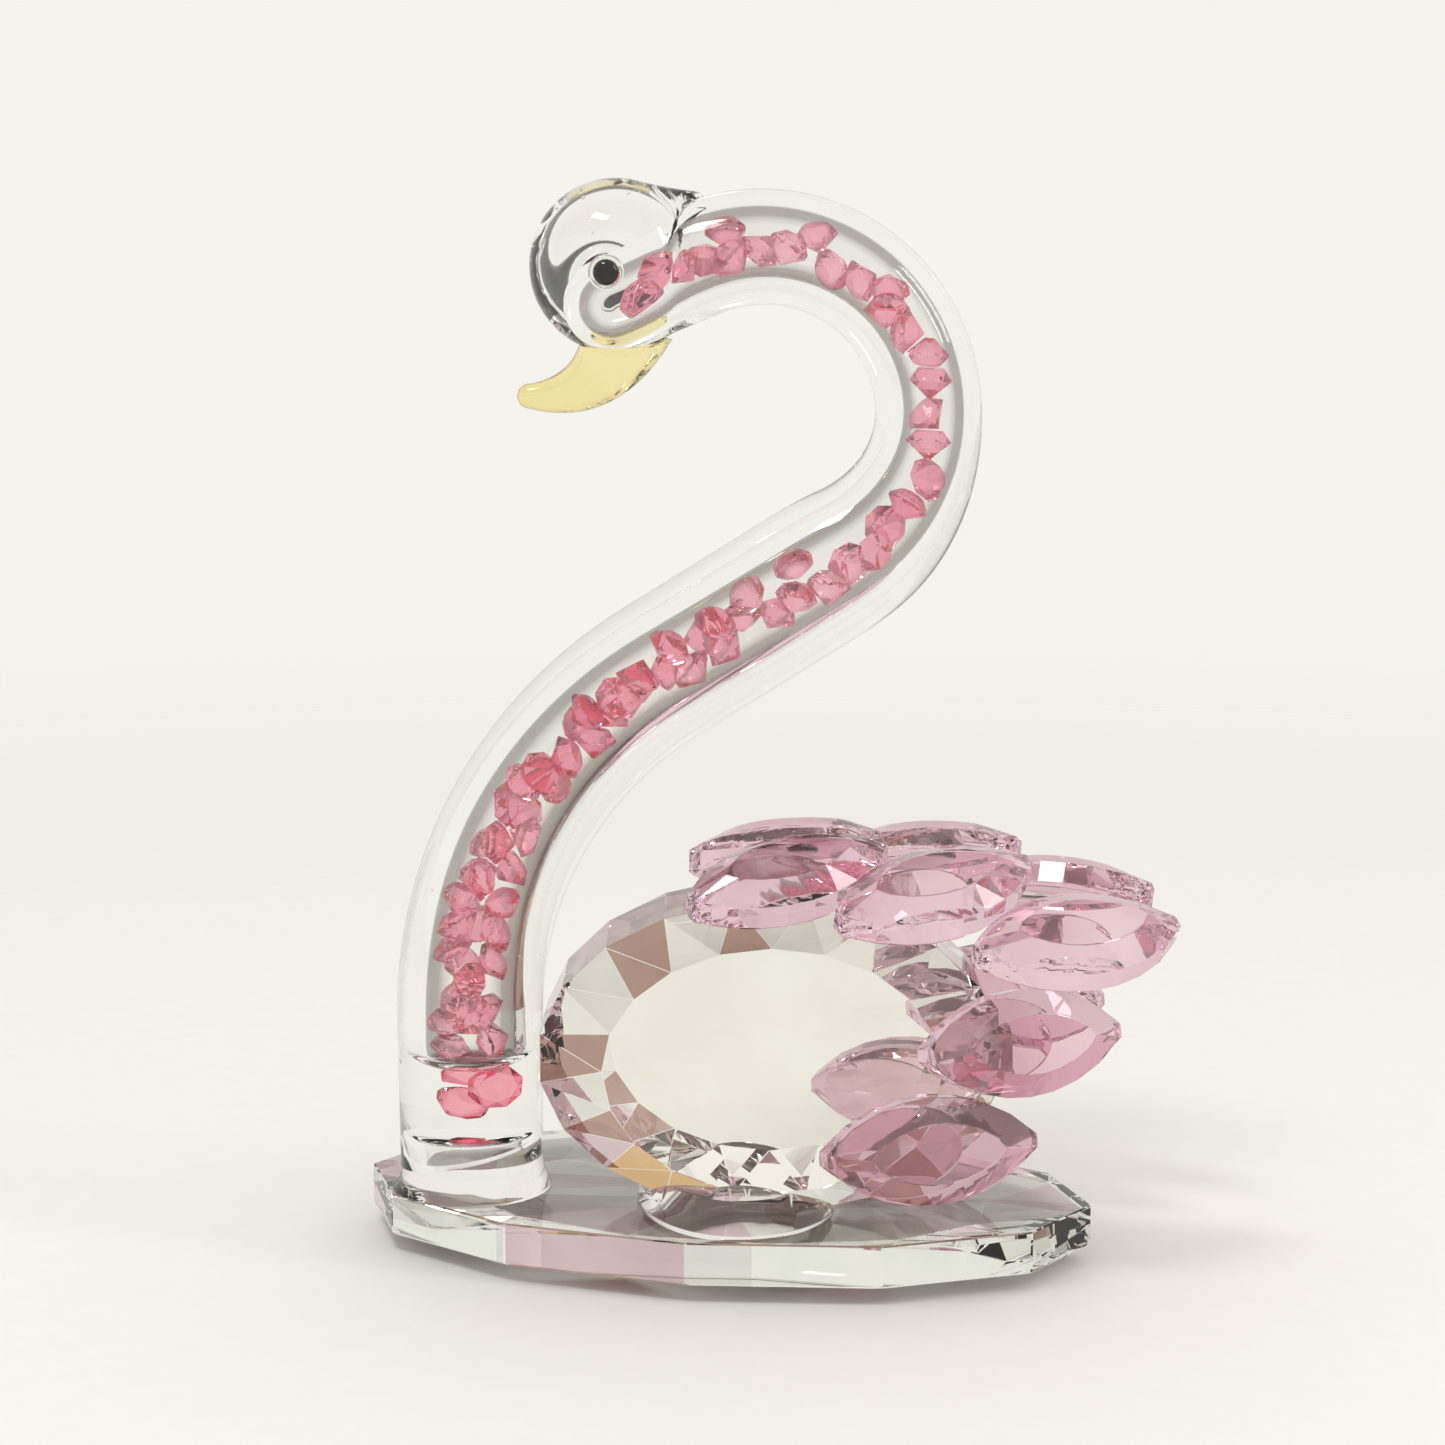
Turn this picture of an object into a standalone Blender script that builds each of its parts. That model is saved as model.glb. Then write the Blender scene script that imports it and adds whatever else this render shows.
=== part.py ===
"""Glass swan figurine: a cut crystal body on an oval plate, a lampworked neck
full of loose beads, and navette stones glued on as feathers.

Frame: metres, +Z up, the swan faces -X, its origin under the middle of its box.
"""

import math
import random

import bmesh
import bpy
import numpy as np
from mathutils import Matrix, Vector

MM = 0.001

# Clearance left where two pieces are glued or rest on each other
SEAT_GAP = 0.3 * MM

# Base plate
PLATE_LENGTH = 62.8 * MM
PLATE_WIDTH = 33.0 * MM
PLATE_GIRDLE = 3.5 * MM
PLATE_BEVEL_DROP = 1.5 * MM
PLATE_BEVEL_INSET = 8.5 * MM
PLATE_SIDES = 12
PLATE_TURN = math.radians(-11.0)
PLATE_SHIFT_X = 0.15 * MM
PLATE_SHIFT_Y = 1.8 * MM

# Body crystal
BODY_LENGTH = 38.6 * MM
BODY_HEIGHT = 26.4 * MM
BODY_GIRDLE = 10.4 * MM
BODY_CROWN = 4.4 * MM
BODY_TABLE_LENGTH = 27.6 * MM
BODY_TABLE_HEIGHT = 20.4 * MM
BODY_SIDES = 20
BODY_X = 4.0 * MM
BODY_Y = -1.6 * MM

# Neck tube, along its centreline from the foot to the head
NECK_Y = 1.6 * MM
NECK_FOOT_LIFT = 2.0 * MM
NECK_FOOT_SLANT = math.radians(12.0)
NECK_RUN = 11.7 * MM
NECK_LOWER_RADIUS = 34.6 * MM
NECK_LOWER_BEND = math.radians(58.1)
NECK_STRAIGHT = 18.5 * MM
NECK_UPPER_RADIUS = 13.7 * MM
NECK_UPPER_BEND = math.radians(170.6)
NECK_END_RUN = 8.2 * MM
NECK_FOOT_OD = 12.2 * MM
NECK_MIDDLE_OD = 12.4 * MM
NECK_NARROW_OD = 8.8 * MM
NECK_HEAD_OD = 9.5 * MM
BORE_FOOT_ID = 7.8 * MM
BORE_MIDDLE_ID = 6.5 * MM
BORE_NARROW_ID = 5.0 * MM
BORE_HEAD_ID = 5.9 * MM
BORE_OFF_CENTRE = 0.3 * MM
NECK_SIDES = 20
BORE_SIDES = 16
NECK_STEP = 2.6 * MM
LINE_STEP = 0.4 * MM
BORE_STEP = 0.5 * MM
TUBE_END_LEAD = 0.5 * MM

# Head drop, fused over the closed end of the tube, with a tail that lies on the neck
HEAD_DIAMETER = 14.3 * MM
HEAD_WIDTH = 12.8 * MM
HEAD_TAIL_REACH = 9.3 * MM
HEAD_TAIL_ANGLE = math.radians(40.0)
HEAD_SIDES = 22
HEAD_BEHIND = 0.8 * MM
HEAD_ABOVE = 2.6 * MM

# Beak
BEAK_ROOT = 7.8 * MM
BEAK_REACH = 8.1 * MM
BEAK_DROP = 5.9 * MM
BEAK_TIP = 1.9 * MM
BEAK_THICKNESS = 5.4 * MM
BEAK_ROOT_BACK = 0.9 * MM
BEAK_ROOT_DOWN = 4.7 * MM
BEAK_HOOK_SHARE = 0.26
BEAK_SIDES = 12
BEAK_RINGS = 9

# Eyes
EYE_DIAMETER = 2.4 * MM
EYE_THICKNESS = 1.3 * MM
EYE_AHEAD = 0.35 * MM
EYE_BELOW = 0.5 * MM

# Resin plug in the foot of the bore
PLUG_HEIGHT = 3.2 * MM

# Loose beads
BEAD_DIAMETER = 3.8 * MM
BEAD_TABLE = 2.2 * MM
BEAD_CROWN = 0.95 * MM
BEAD_PAVILION = 1.7 * MM
BEAD_SIDES = 8
BEAD_COUNT = 72
BEAD_NODES = 43
BEAD_SEED = 12
BEAD_TRIES = 900
BEAD_SETTLING = 300
BEAD_PATIENCE = 12
BEAD_WALL_GAP = 0.08 * MM
BEAD_TO_BEAD = 0.06 * MM
BEAD_JOIN = 0.16 * MM
BEAD_THROW = (-1.5 * BEAD_DIAMETER, 2.4 * BEAD_DIAMETER)
BEAD_NUDGE = 0.13 * BEAD_DIAMETER
BEAD_TWIST = 0.5
BEAD_LEVEL_WEIGHT = 0.3
CLUSTER_REACH = 1.6 * BEAD_DIAMETER

# Feather stones
STONE_LENGTH = 18.0 * MM
STONE_WIDTH = 9.0 * MM
STONE_TIP = 1.5 * MM
STONE_GIRDLE = 2.3 * MM
STONE_CROWN = 1.4 * MM
STONE_RIDGE = 5.0 * MM
STONE_EDGE_FACETS = 5

# Each pair of stones, in the order they are laid: the stone's middle from the
# body's middle as shares of the body's length and height, how much it turns inwards
# to the tail, its slope along the body and how far it leans back
FEATHERS = {
    "top_front": (0.034, 0.527, 25.0, 11.0, 61.0),
    "top_middle": (0.337, 0.500, 26.0, 10.0, 57.0),
    "top_tail": (0.627, 0.371, 21.0, 2.0, 54.0),
    "side_middle": (0.510, 0.072, 25.0, 1.0, 10.0),
    "side_lower": (0.316, -0.216, 17.0, 1.0, 6.0),
}


def clear_scene():
    for item in list(bpy.data.objects):
        bpy.data.objects.remove(item, do_unlink=True)


def material(name, colour, roughness, transmission=1.0, alpha=1.0):
    made = bpy.data.materials.new(name)
    made.use_nodes = True
    shader = made.node_tree.nodes["Principled BSDF"]
    shader.inputs["Base Color"].default_value = (*colour, 1.0)
    shader.inputs["Roughness"].default_value = roughness
    shader.inputs["Metallic"].default_value = 0.0
    shader.inputs["Transmission Weight"].default_value = transmission
    shader.inputs["Alpha"].default_value = alpha
    made.diffuse_color = (*colour, 1.0)
    return made


def mesh_from(name, points, faces):
    mesh = bpy.data.meshes.new(name)
    mesh.from_pydata([tuple(p) for p in points], [], faces)
    mesh.validate()
    work = bmesh.new()
    work.from_mesh(mesh)
    bmesh.ops.recalc_face_normals(work, faces=work.faces)
    work.to_mesh(mesh)
    work.free()
    return mesh


def add_object(name, mesh, made_of):
    item = bpy.data.objects.new(name, mesh)
    item.data.materials.append(made_of)
    bpy.context.scene.collection.objects.link(item)
    return item


def combine(item, other, operation):
    """Joins or cuts with the EXACT Boolean and drops the second object."""
    step = item.modifiers.new(operation, "BOOLEAN")
    step.operation = operation
    step.solver = "EXACT"
    step.object = other
    graph = bpy.context.evaluated_depsgraph_get()
    mesh = bpy.data.meshes.new_from_object(item.evaluated_get(graph))
    item.modifiers.clear()
    item.data = mesh
    bpy.data.objects.remove(other, do_unlink=True)


def oval(length, width, sides, half_step=False):
    """Corners of an oval as (along, across), counter-clockwise."""
    start = 0.5 if half_step else 0.0
    turns = [2 * math.pi * (k + start) / sides for k in range(sides)]
    return [(length / 2 * math.cos(t), width / 2 * math.sin(t)) for t in turns]


def between_rings(first, second, count, offset=0):
    """Triangles of a band from one ring of points to the next."""
    faces = []
    for k in range(count):
        after = (k + 1) % count
        a, b = first + k, first + after
        c, d = second + (k + offset) % count, second + (after + offset) % count
        faces.append((a, b, c))
        faces.append((b, d, c))
    return faces


# Centreline of the neck
class Centreline:
    """The neck's bends, as points in the plane of the swan with their tangents."""

    def __init__(self, start):
        self.place = Vector(start)
        self.heading = math.pi / 2
        self.run = 0.0
        self.stations = {"foot": 0.0}
        self.samples = [(0.0, self.place.copy(), self.heading, 0.0)]

    def add(self, length, bend=0.0):
        """A straight stretch, or an arc that turns by bend (to the left if above 0)."""
        steps = max(2, round(length / LINE_STEP))
        curve = bend / length
        for _ in range(steps):
            part = length / steps
            middle = self.heading + curve * part / 2
            self.place = self.place + Vector((math.cos(middle), math.sin(middle))) * part
            self.heading += curve * part
            self.run += part
            self.samples.append((self.run, self.place.copy(), self.heading, curve))

    def mark(self, name):
        self.stations[name] = self.run

    def arrays(self):
        runs = np.array([s[0] for s in self.samples])
        places = np.array([tuple(s[1]) for s in self.samples])
        headings = np.array([s[2] for s in self.samples])
        return runs, places, headings


def neck_line(foot_x, foot_z):
    line = Centreline((foot_x, foot_z))
    line.add(NECK_RUN)
    line.mark("lower_bend")
    line.add(NECK_LOWER_RADIUS * NECK_LOWER_BEND, -NECK_LOWER_BEND)
    line.mark("straight")
    line.add(NECK_STRAIGHT)
    line.mark("upper_bend")
    line.add(NECK_UPPER_RADIUS * NECK_UPPER_BEND, NECK_UPPER_BEND)
    line.mark("head")
    line.add(NECK_END_RUN)
    line.mark("end")
    return line


def smooth_profile(run, stations):
    """A size that eases from each station to the next."""
    for (start, low), (end, high) in zip(stations, stations[1:]):
        if run <= end:
            share = max(0.0, (run - start) / (end - start))
            eased = share * share * (3 - 2 * share)
            return low + (high - low) * eased
    return stations[-1][1]


class Neck:
    """Where the glass and the bore run, and how wide each is."""

    def __init__(self, line):
        self.runs, self.places, self.headings = line.arrays()
        marks = line.stations
        bend_share = NECK_UPPER_RADIUS * NECK_UPPER_BEND
        narrow = marks["upper_bend"] + bend_share * 0.36
        wide = marks["upper_bend"] - NECK_STRAIGHT * 0.2
        self.outer = [
            (0.0, NECK_FOOT_OD / 2),
            (marks["lower_bend"], NECK_MIDDLE_OD / 2),
            (wide, NECK_MIDDLE_OD / 2),
            (narrow, NECK_NARROW_OD / 2),
            (marks["head"], NECK_HEAD_OD / 2),
        ]
        self.bore = [
            (0.0, BORE_FOOT_ID / 2),
            (marks["straight"], BORE_MIDDLE_ID / 2),
            (wide, BORE_MIDDLE_ID / 2),
            (narrow, BORE_NARROW_ID / 2),
            (marks["head"], BORE_HEAD_ID / 2),
        ]
        self.shift = [
            (0.0, 0.0),
            (marks["lower_bend"], 0.0),
            ((marks["lower_bend"] + marks["straight"]) / 2, -1.0),
            (marks["upper_bend"], 0.0),
            (narrow, 1.0),
            (marks["head"], 1.0),
            (marks["end"], 0.0),
        ]
        self.end = marks["end"]

    def frame(self, run):
        """Point, tangent and the normal that points away from the upper bend's centre."""
        x = np.interp(run, self.runs, self.places[:, 0])
        z = np.interp(run, self.runs, self.places[:, 1])
        heading = np.interp(run, self.runs, self.headings)
        tangent = Vector((math.cos(heading), 0.0, math.sin(heading)))
        normal = Vector((math.sin(heading), 0.0, -math.cos(heading)))
        return Vector((x, NECK_Y, z)), tangent, normal

    def bore_frame(self, run):
        point, tangent, normal = self.frame(run)
        aside = smooth_profile(run, self.shift) * BORE_OFF_CENTRE
        return point + normal * aside, tangent, normal

    def outer_radius(self, run):
        return smooth_profile(run, self.outer)

    def bore_radius(self, run):
        return smooth_profile(run, self.bore)


def swept(name, sections, sides):
    """A closed skin through rings given as (centre, normal, across, radius, radius)."""
    points, faces = [], []
    for centre, normal, across, along_normal, along_across in sections:
        for k in range(sides):
            turn = 2 * math.pi * k / sides
            points.append(
                centre
                + normal * (along_normal * math.cos(turn))
                + across * (along_across * math.sin(turn))
            )
    for ring in range(len(sections) - 1):
        faces += between_rings(ring * sides, (ring + 1) * sides, sides)
    last = (len(sections) - 1) * sides
    faces.append(tuple(range(sides)))
    faces.append(tuple(last + k for k in range(sides)))
    return mesh_from(name, points, faces)


def round_end(frame_at, radius_at, end, steps=5):
    """Rings of a rounded end that closes a tube at the run called end."""
    radius = radius_at(end)
    across = Vector((0, 1, 0))
    rings = []
    for k in range(1, steps + 1):
        turn = math.pi / 2 * k / (steps + 0.4)
        centre, tangent, normal = frame_at(end)
        size = radius * math.cos(turn)
        rings.append((centre + tangent * (radius * math.sin(turn)), normal, across, size, size))
    return rings


def tube_sections(frame_at, radius_at, start, end, step):
    across = Vector((0, 1, 0))
    count = max(2, math.ceil((end - start) / step))
    rings = []
    for k in range(count + 1):
        run = start + (end - start) * k / count
        centre, _, normal = frame_at(max(run, 0.0))
        if run < 0.0:
            centre = centre + Vector((0, 0, run))
        size = radius_at(max(run, 0.0))
        rings.append((centre, normal, across, size, size))
    return rings


def slanted_cutter(neck):
    """A block whose sloping top trims the foot of the tube."""
    reach = NECK_FOOT_OD * 1.5
    block = bpy.data.meshes.new("foot_cutter")
    work = bmesh.new()
    bmesh.ops.create_cube(work, size=reach)
    centre, _, _ = neck.frame(0.0)
    turn = Matrix.Rotation(-NECK_FOOT_SLANT, 4, "Y")
    down = Matrix.Translation((0, 0, -reach / 2))
    bmesh.ops.transform(work, matrix=Matrix.Translation(centre) @ turn @ down, verts=work.verts)
    work.to_mesh(block)
    work.free()
    item = bpy.data.objects.new("foot_cutter", block)
    bpy.context.scene.collection.objects.link(item)
    return item


def head_place(neck):
    point, _, _ = neck.frame(neck.end)
    return Vector((point.x + HEAD_BEHIND, NECK_Y, point.z + HEAD_ABOVE))


def ellipsoid(name, centre, size, rings=14, sides=22, grow=0.0):
    mesh = bpy.data.meshes.new(name)
    work = bmesh.new()
    bmesh.ops.create_uvsphere(work, u_segments=sides, v_segments=rings, radius=0.5)
    scale = Matrix.Diagonal((size[0] + 2 * grow, size[1] + 2 * grow, size[2] + 2 * grow, 1))
    bmesh.ops.transform(work, matrix=Matrix.Translation(centre) @ scale, verts=work.verts)
    work.to_mesh(mesh)
    work.free()
    return mesh


def head_drop(middle):
    """A ball of glass drawn out to a tail, flattened across the swan."""
    radius = HEAD_DIAMETER / 2
    axis = Vector((math.cos(HEAD_TAIL_ANGLE), 0, math.sin(HEAD_TAIL_ANGLE)))
    side = Vector((-axis.z, 0, axis.x))
    leave = math.acos(radius / HEAD_TAIL_REACH)
    turns = np.linspace(math.pi, leave, 12)[1:]
    profile = [(radius * math.cos(t), radius * math.sin(t)) for t in turns]
    last, girth = profile[-1]
    for share in (0.35, 0.7, 0.93):
        along = last + (HEAD_TAIL_REACH - last) * share
        profile.append((along, girth * (1 - share) * (1 - 0.16 * share)))
    across = Vector((0, HEAD_WIDTH / HEAD_DIAMETER, 0))
    rings = [(middle + axis * along, side, across, size, size) for along, size in profile]
    return swept("head_drop", rings, HEAD_SIDES)


def make_neck(neck, glass):
    foot_extra = NECK_FOOT_OD * math.tan(NECK_FOOT_SLANT)
    outer_end = neck.end - TUBE_END_LEAD
    rings = tube_sections(neck.frame, neck.outer_radius, -foot_extra, outer_end, NECK_STEP)
    rings += round_end(neck.frame, neck.outer_radius, outer_end)
    item = add_object("neck_and_head", swept("neck", rings, NECK_SIDES), glass)
    combine(item, add_object("head_drop", head_drop(head_place(neck)), glass), "UNION")
    bore_end = neck.end - TUBE_END_LEAD
    rings = tube_sections(neck.bore_frame, neck.bore_radius, -2 * foot_extra, bore_end, NECK_STEP)
    rings += round_end(neck.bore_frame, neck.bore_radius, bore_end)
    bore = add_object("bore_cutter", swept("bore", rings, BORE_SIDES), glass)
    combine(item, bore, "DIFFERENCE")
    combine(item, slanted_cutter(neck), "DIFFERENCE")
    item.data.shade_smooth()
    item.data.set_sharp_from_angle(angle=math.radians(40))
    return item


def make_plate(glass):
    """Rings from the bottom table to the top face, facets staggered on the bevel."""
    table = (PLATE_LENGTH - 2 * PLATE_BEVEL_INSET, PLATE_WIDTH - 1.1 * PLATE_BEVEL_INSET)
    bottom = oval(*table, PLATE_SIDES, half_step=True)
    rim = oval(PLATE_LENGTH, PLATE_WIDTH, PLATE_SIDES)
    levels = (0.0, PLATE_BEVEL_DROP, PLATE_BEVEL_DROP + PLATE_GIRDLE)
    points = [(x, y, levels[0]) for x, y in bottom]
    points += [(x, y, levels[1]) for x, y in rim]
    points += [(x, y, levels[2]) for x, y in rim]
    faces = [tuple(range(PLATE_SIDES))]
    faces += between_rings(0, PLATE_SIDES, PLATE_SIDES, offset=1)
    faces += between_rings(PLATE_SIDES, 2 * PLATE_SIDES, PLATE_SIDES)
    faces.append(tuple(2 * PLATE_SIDES + k for k in range(PLATE_SIDES)))
    turn = Matrix.Rotation(PLATE_TURN, 4, "Z")
    shift = Matrix.Translation((PLATE_SHIFT_X, PLATE_SHIFT_Y, 0))
    mesh = mesh_from("base_plate", [shift @ turn @ Vector(p) for p in points], faces)
    return add_object("base_plate", mesh, glass)


def body_centre():
    lowest = BODY_HEIGHT / 2 * math.cos(math.pi / BODY_SIDES)
    return Vector((BODY_X, BODY_Y, PLATE_BEVEL_DROP + PLATE_GIRDLE + SEAT_GAP + lowest))


def body_points():
    """Rings of the body from the front table to the rear one."""
    rim = oval(BODY_LENGTH, BODY_HEIGHT, BODY_SIDES, half_step=True)
    table = oval(BODY_TABLE_LENGTH, BODY_TABLE_HEIGHT, BODY_SIDES)
    half = BODY_GIRDLE / 2
    rings = (
        (table, -half - BODY_CROWN),
        (rim, -half),
        (rim, half),
        (table, half + BODY_CROWN),
    )
    centre = body_centre()
    return [centre + Vector((x, y, z)) for ring, y in rings for x, z in ring]


def body_faces():
    count = BODY_SIDES
    faces = [tuple(range(count))]
    faces += between_rings(0, count, count)
    faces += between_rings(count, 2 * count, count)
    faces += between_rings(3 * count, 2 * count, count)
    faces.append(tuple(3 * count + k for k in range(count)))
    return faces


def make_body(glass):
    mesh = mesh_from("body_crystal", body_points(), body_faces())
    return add_object("body_crystal", mesh, glass)


def make_beak(neck, amber):
    """A curved horn whose top is cut to sit under the head."""
    head = head_place(neck)
    root = head + Vector((BEAK_ROOT_BACK, 0, -BEAK_ROOT_DOWN))
    tip = root + Vector((-BEAK_REACH, 0, -BEAK_DROP))
    hook = root + Vector((-BEAK_REACH * BEAK_HOOK_SHARE, 0, -BEAK_DROP * 1.05))
    across = Vector((0, 1, 0))
    rings = []
    for k in range(BEAK_RINGS):
        t = k / (BEAK_RINGS - 1)
        centre = root * (1 - t) ** 2 + hook * (2 * t * (1 - t)) + tip * t * t
        tangent = ((hook - root) * (1 - t) + (tip - hook) * t).normalized()
        normal = Vector((-tangent.z, 0, tangent.x))
        width = BEAK_ROOT + (BEAK_TIP - BEAK_ROOT) * t**0.9
        depth = BEAK_THICKNESS + (BEAK_TIP - BEAK_THICKNESS) * t
        rings.append((centre, normal, across, width / 2, depth / 2))
    centre, normal, _, width, depth = rings[-1]
    forward = Vector((normal.z, 0, -normal.x)).normalized()
    if forward.dot(tip - hook) < 0:
        forward = -forward
    for turn in (30, 60):
        share = math.cos(math.radians(turn))
        ahead = forward * (width * math.sin(math.radians(turn)))
        rings.append((centre + ahead, normal, across, width * share, depth * share))
    item = add_object("beak", swept("beak", rings, BEAK_SIDES), amber)
    size = (HEAD_DIAMETER, HEAD_WIDTH, HEAD_DIAMETER)
    cutter = add_object("head_cutter", ellipsoid("cutter", head, size, grow=SEAT_GAP), amber)
    combine(item, cutter, "DIFFERENCE")
    keep_lowest(item)
    item.data.shade_smooth()
    item.data.set_sharp_from_angle(angle=math.radians(40))
    return item


def keep_lowest(item):
    """Keeps only the body of the mesh that reaches lowest."""
    work = bmesh.new()
    work.from_mesh(item.data)
    left = set(work.verts)
    groups = []
    while left:
        seed = left.pop()
        group, edge = {seed}, [seed]
        while edge:
            for link in edge.pop().link_edges:
                for vert in link.verts:
                    if vert in left:
                        left.discard(vert)
                        group.add(vert)
                        edge.append(vert)
        groups.append(group)
    groups.sort(key=lambda g: min(v.co.z for v in g))
    spare = [v for group in groups[1:] for v in group]
    bmesh.ops.delete(work, geom=spare, context="VERTS")
    work.to_mesh(item.data)
    work.free()


def make_eye(name, neck, side, black):
    """A small flattened bead on the widest part of the head."""
    head = head_place(neck)
    stand = HEAD_WIDTH / 2 + SEAT_GAP + EYE_THICKNESS / 2
    centre = head + Vector((-EYE_AHEAD, side * stand, -EYE_BELOW))
    size = (EYE_DIAMETER, EYE_THICKNESS, EYE_DIAMETER)
    mesh = ellipsoid(name, centre, size, rings=8, sides=12)
    mesh.shade_smooth()
    return add_object(name, mesh, black)


def make_plug(neck, resin):
    """Clear resin that fills the foot of the bore."""
    def radius(run):
        return neck.bore_radius(run) - SEAT_GAP

    low = NECK_FOOT_OD * math.tan(NECK_FOOT_SLANT)
    rings = tube_sections(neck.bore_frame, radius, -low, PLUG_HEIGHT, PLUG_HEIGHT)
    item = add_object("resin_plug", swept("resin_plug", rings, BORE_SIDES), resin)
    combine(item, slanted_cutter(neck), "DIFFERENCE")
    return item


# Beads
def bead_shape():
    """Corners, faces and outward face normals of one pointed round stone."""
    table = oval(BEAD_TABLE, BEAD_TABLE, BEAD_SIDES, half_step=True)
    rim = oval(BEAD_DIAMETER, BEAD_DIAMETER, BEAD_SIDES)
    lift = (BEAD_PAVILION - BEAD_CROWN) / 2
    points = [(x, y, BEAD_CROWN + lift) for x, y in table]
    points += [(x, y, lift) for x, y in rim]
    points.append((0, 0, lift - BEAD_PAVILION))
    count = BEAD_SIDES
    faces = [tuple(range(count))]
    faces += between_rings(0, count, count, offset=1)
    faces += [(count + (k + 1) % count, count + k, 2 * count) for k in range(count)]
    return (*convex(points, faces), faces)


def convex(points, faces):
    """Corners and outward face normals of a convex body, as arrays."""
    points = np.array([tuple(p) for p in points])
    middle = points.mean(axis=0)
    normals = []
    for face in faces:
        a, b, c = (points[face[i]] for i in range(3))
        normal = np.cross(b - a, c - a)
        normal = normal / np.linalg.norm(normal)
        if normal @ (a - middle) < 0:
            normal = -normal
        normals.append(normal)
    return points, np.array(normals)


def spread(first, second):
    """Largest gap found between two convex bodies, across their faces or their middles."""
    a, na, b, nb = *first[:2], *second[:2]
    way = b.mean(axis=0) - a.mean(axis=0)
    way = way / np.linalg.norm(way)
    gap = (b @ way).min() - (a @ way).max()
    gap_a = (b @ na.T).min(axis=0) - (a @ na.T).max(axis=0)
    gap_b = (a @ nb.T).min(axis=0) - (b @ nb.T).max(axis=0)
    return max(gap, gap_a.max(), gap_b.max())


def moved(body, way, turn=None):
    """A convex body turned about the origin, then moved."""
    points, normals = body[:2]
    if turn is not None:
        points, normals = points @ turn.T, normals @ turn.T
    return points + way, normals


def random_turn(draw, angle):
    axis = Vector((draw.gauss(0, 1), draw.gauss(0, 1), draw.gauss(0, 1))).normalized()
    return np.array(Matrix.Rotation(angle, 3, axis))


def reach(body, way):
    """How far a convex body reaches from the origin along a direction."""
    points, normals = body
    slopes = normals @ way
    ahead = slopes > 0
    return ((points @ normals.T).max(axis=0)[ahead] / slopes[ahead]).min()


def bead_cluster(number):
    """One bead, or two along Z that bite into each other, about the origin."""
    draw = random.Random(BEAD_SEED + number)
    own = bead_shape()[:2]
    up = np.array((0.0, 0.0, 1.0))
    first = moved(own, 0 * up, random_turn(draw, draw.uniform(0, math.pi)))
    singles = 2 * BEAD_NODES - BEAD_COUNT
    if number * singles % BEAD_NODES < singles:
        return [first]
    second = moved(own, 0 * up, random_turn(draw, draw.uniform(0, math.pi)))
    apart = reach(first, up) + reach(second, -up) - BEAD_JOIN
    return [moved(first, -up * apart / 2), moved(second, up * apart / 2)]


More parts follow.
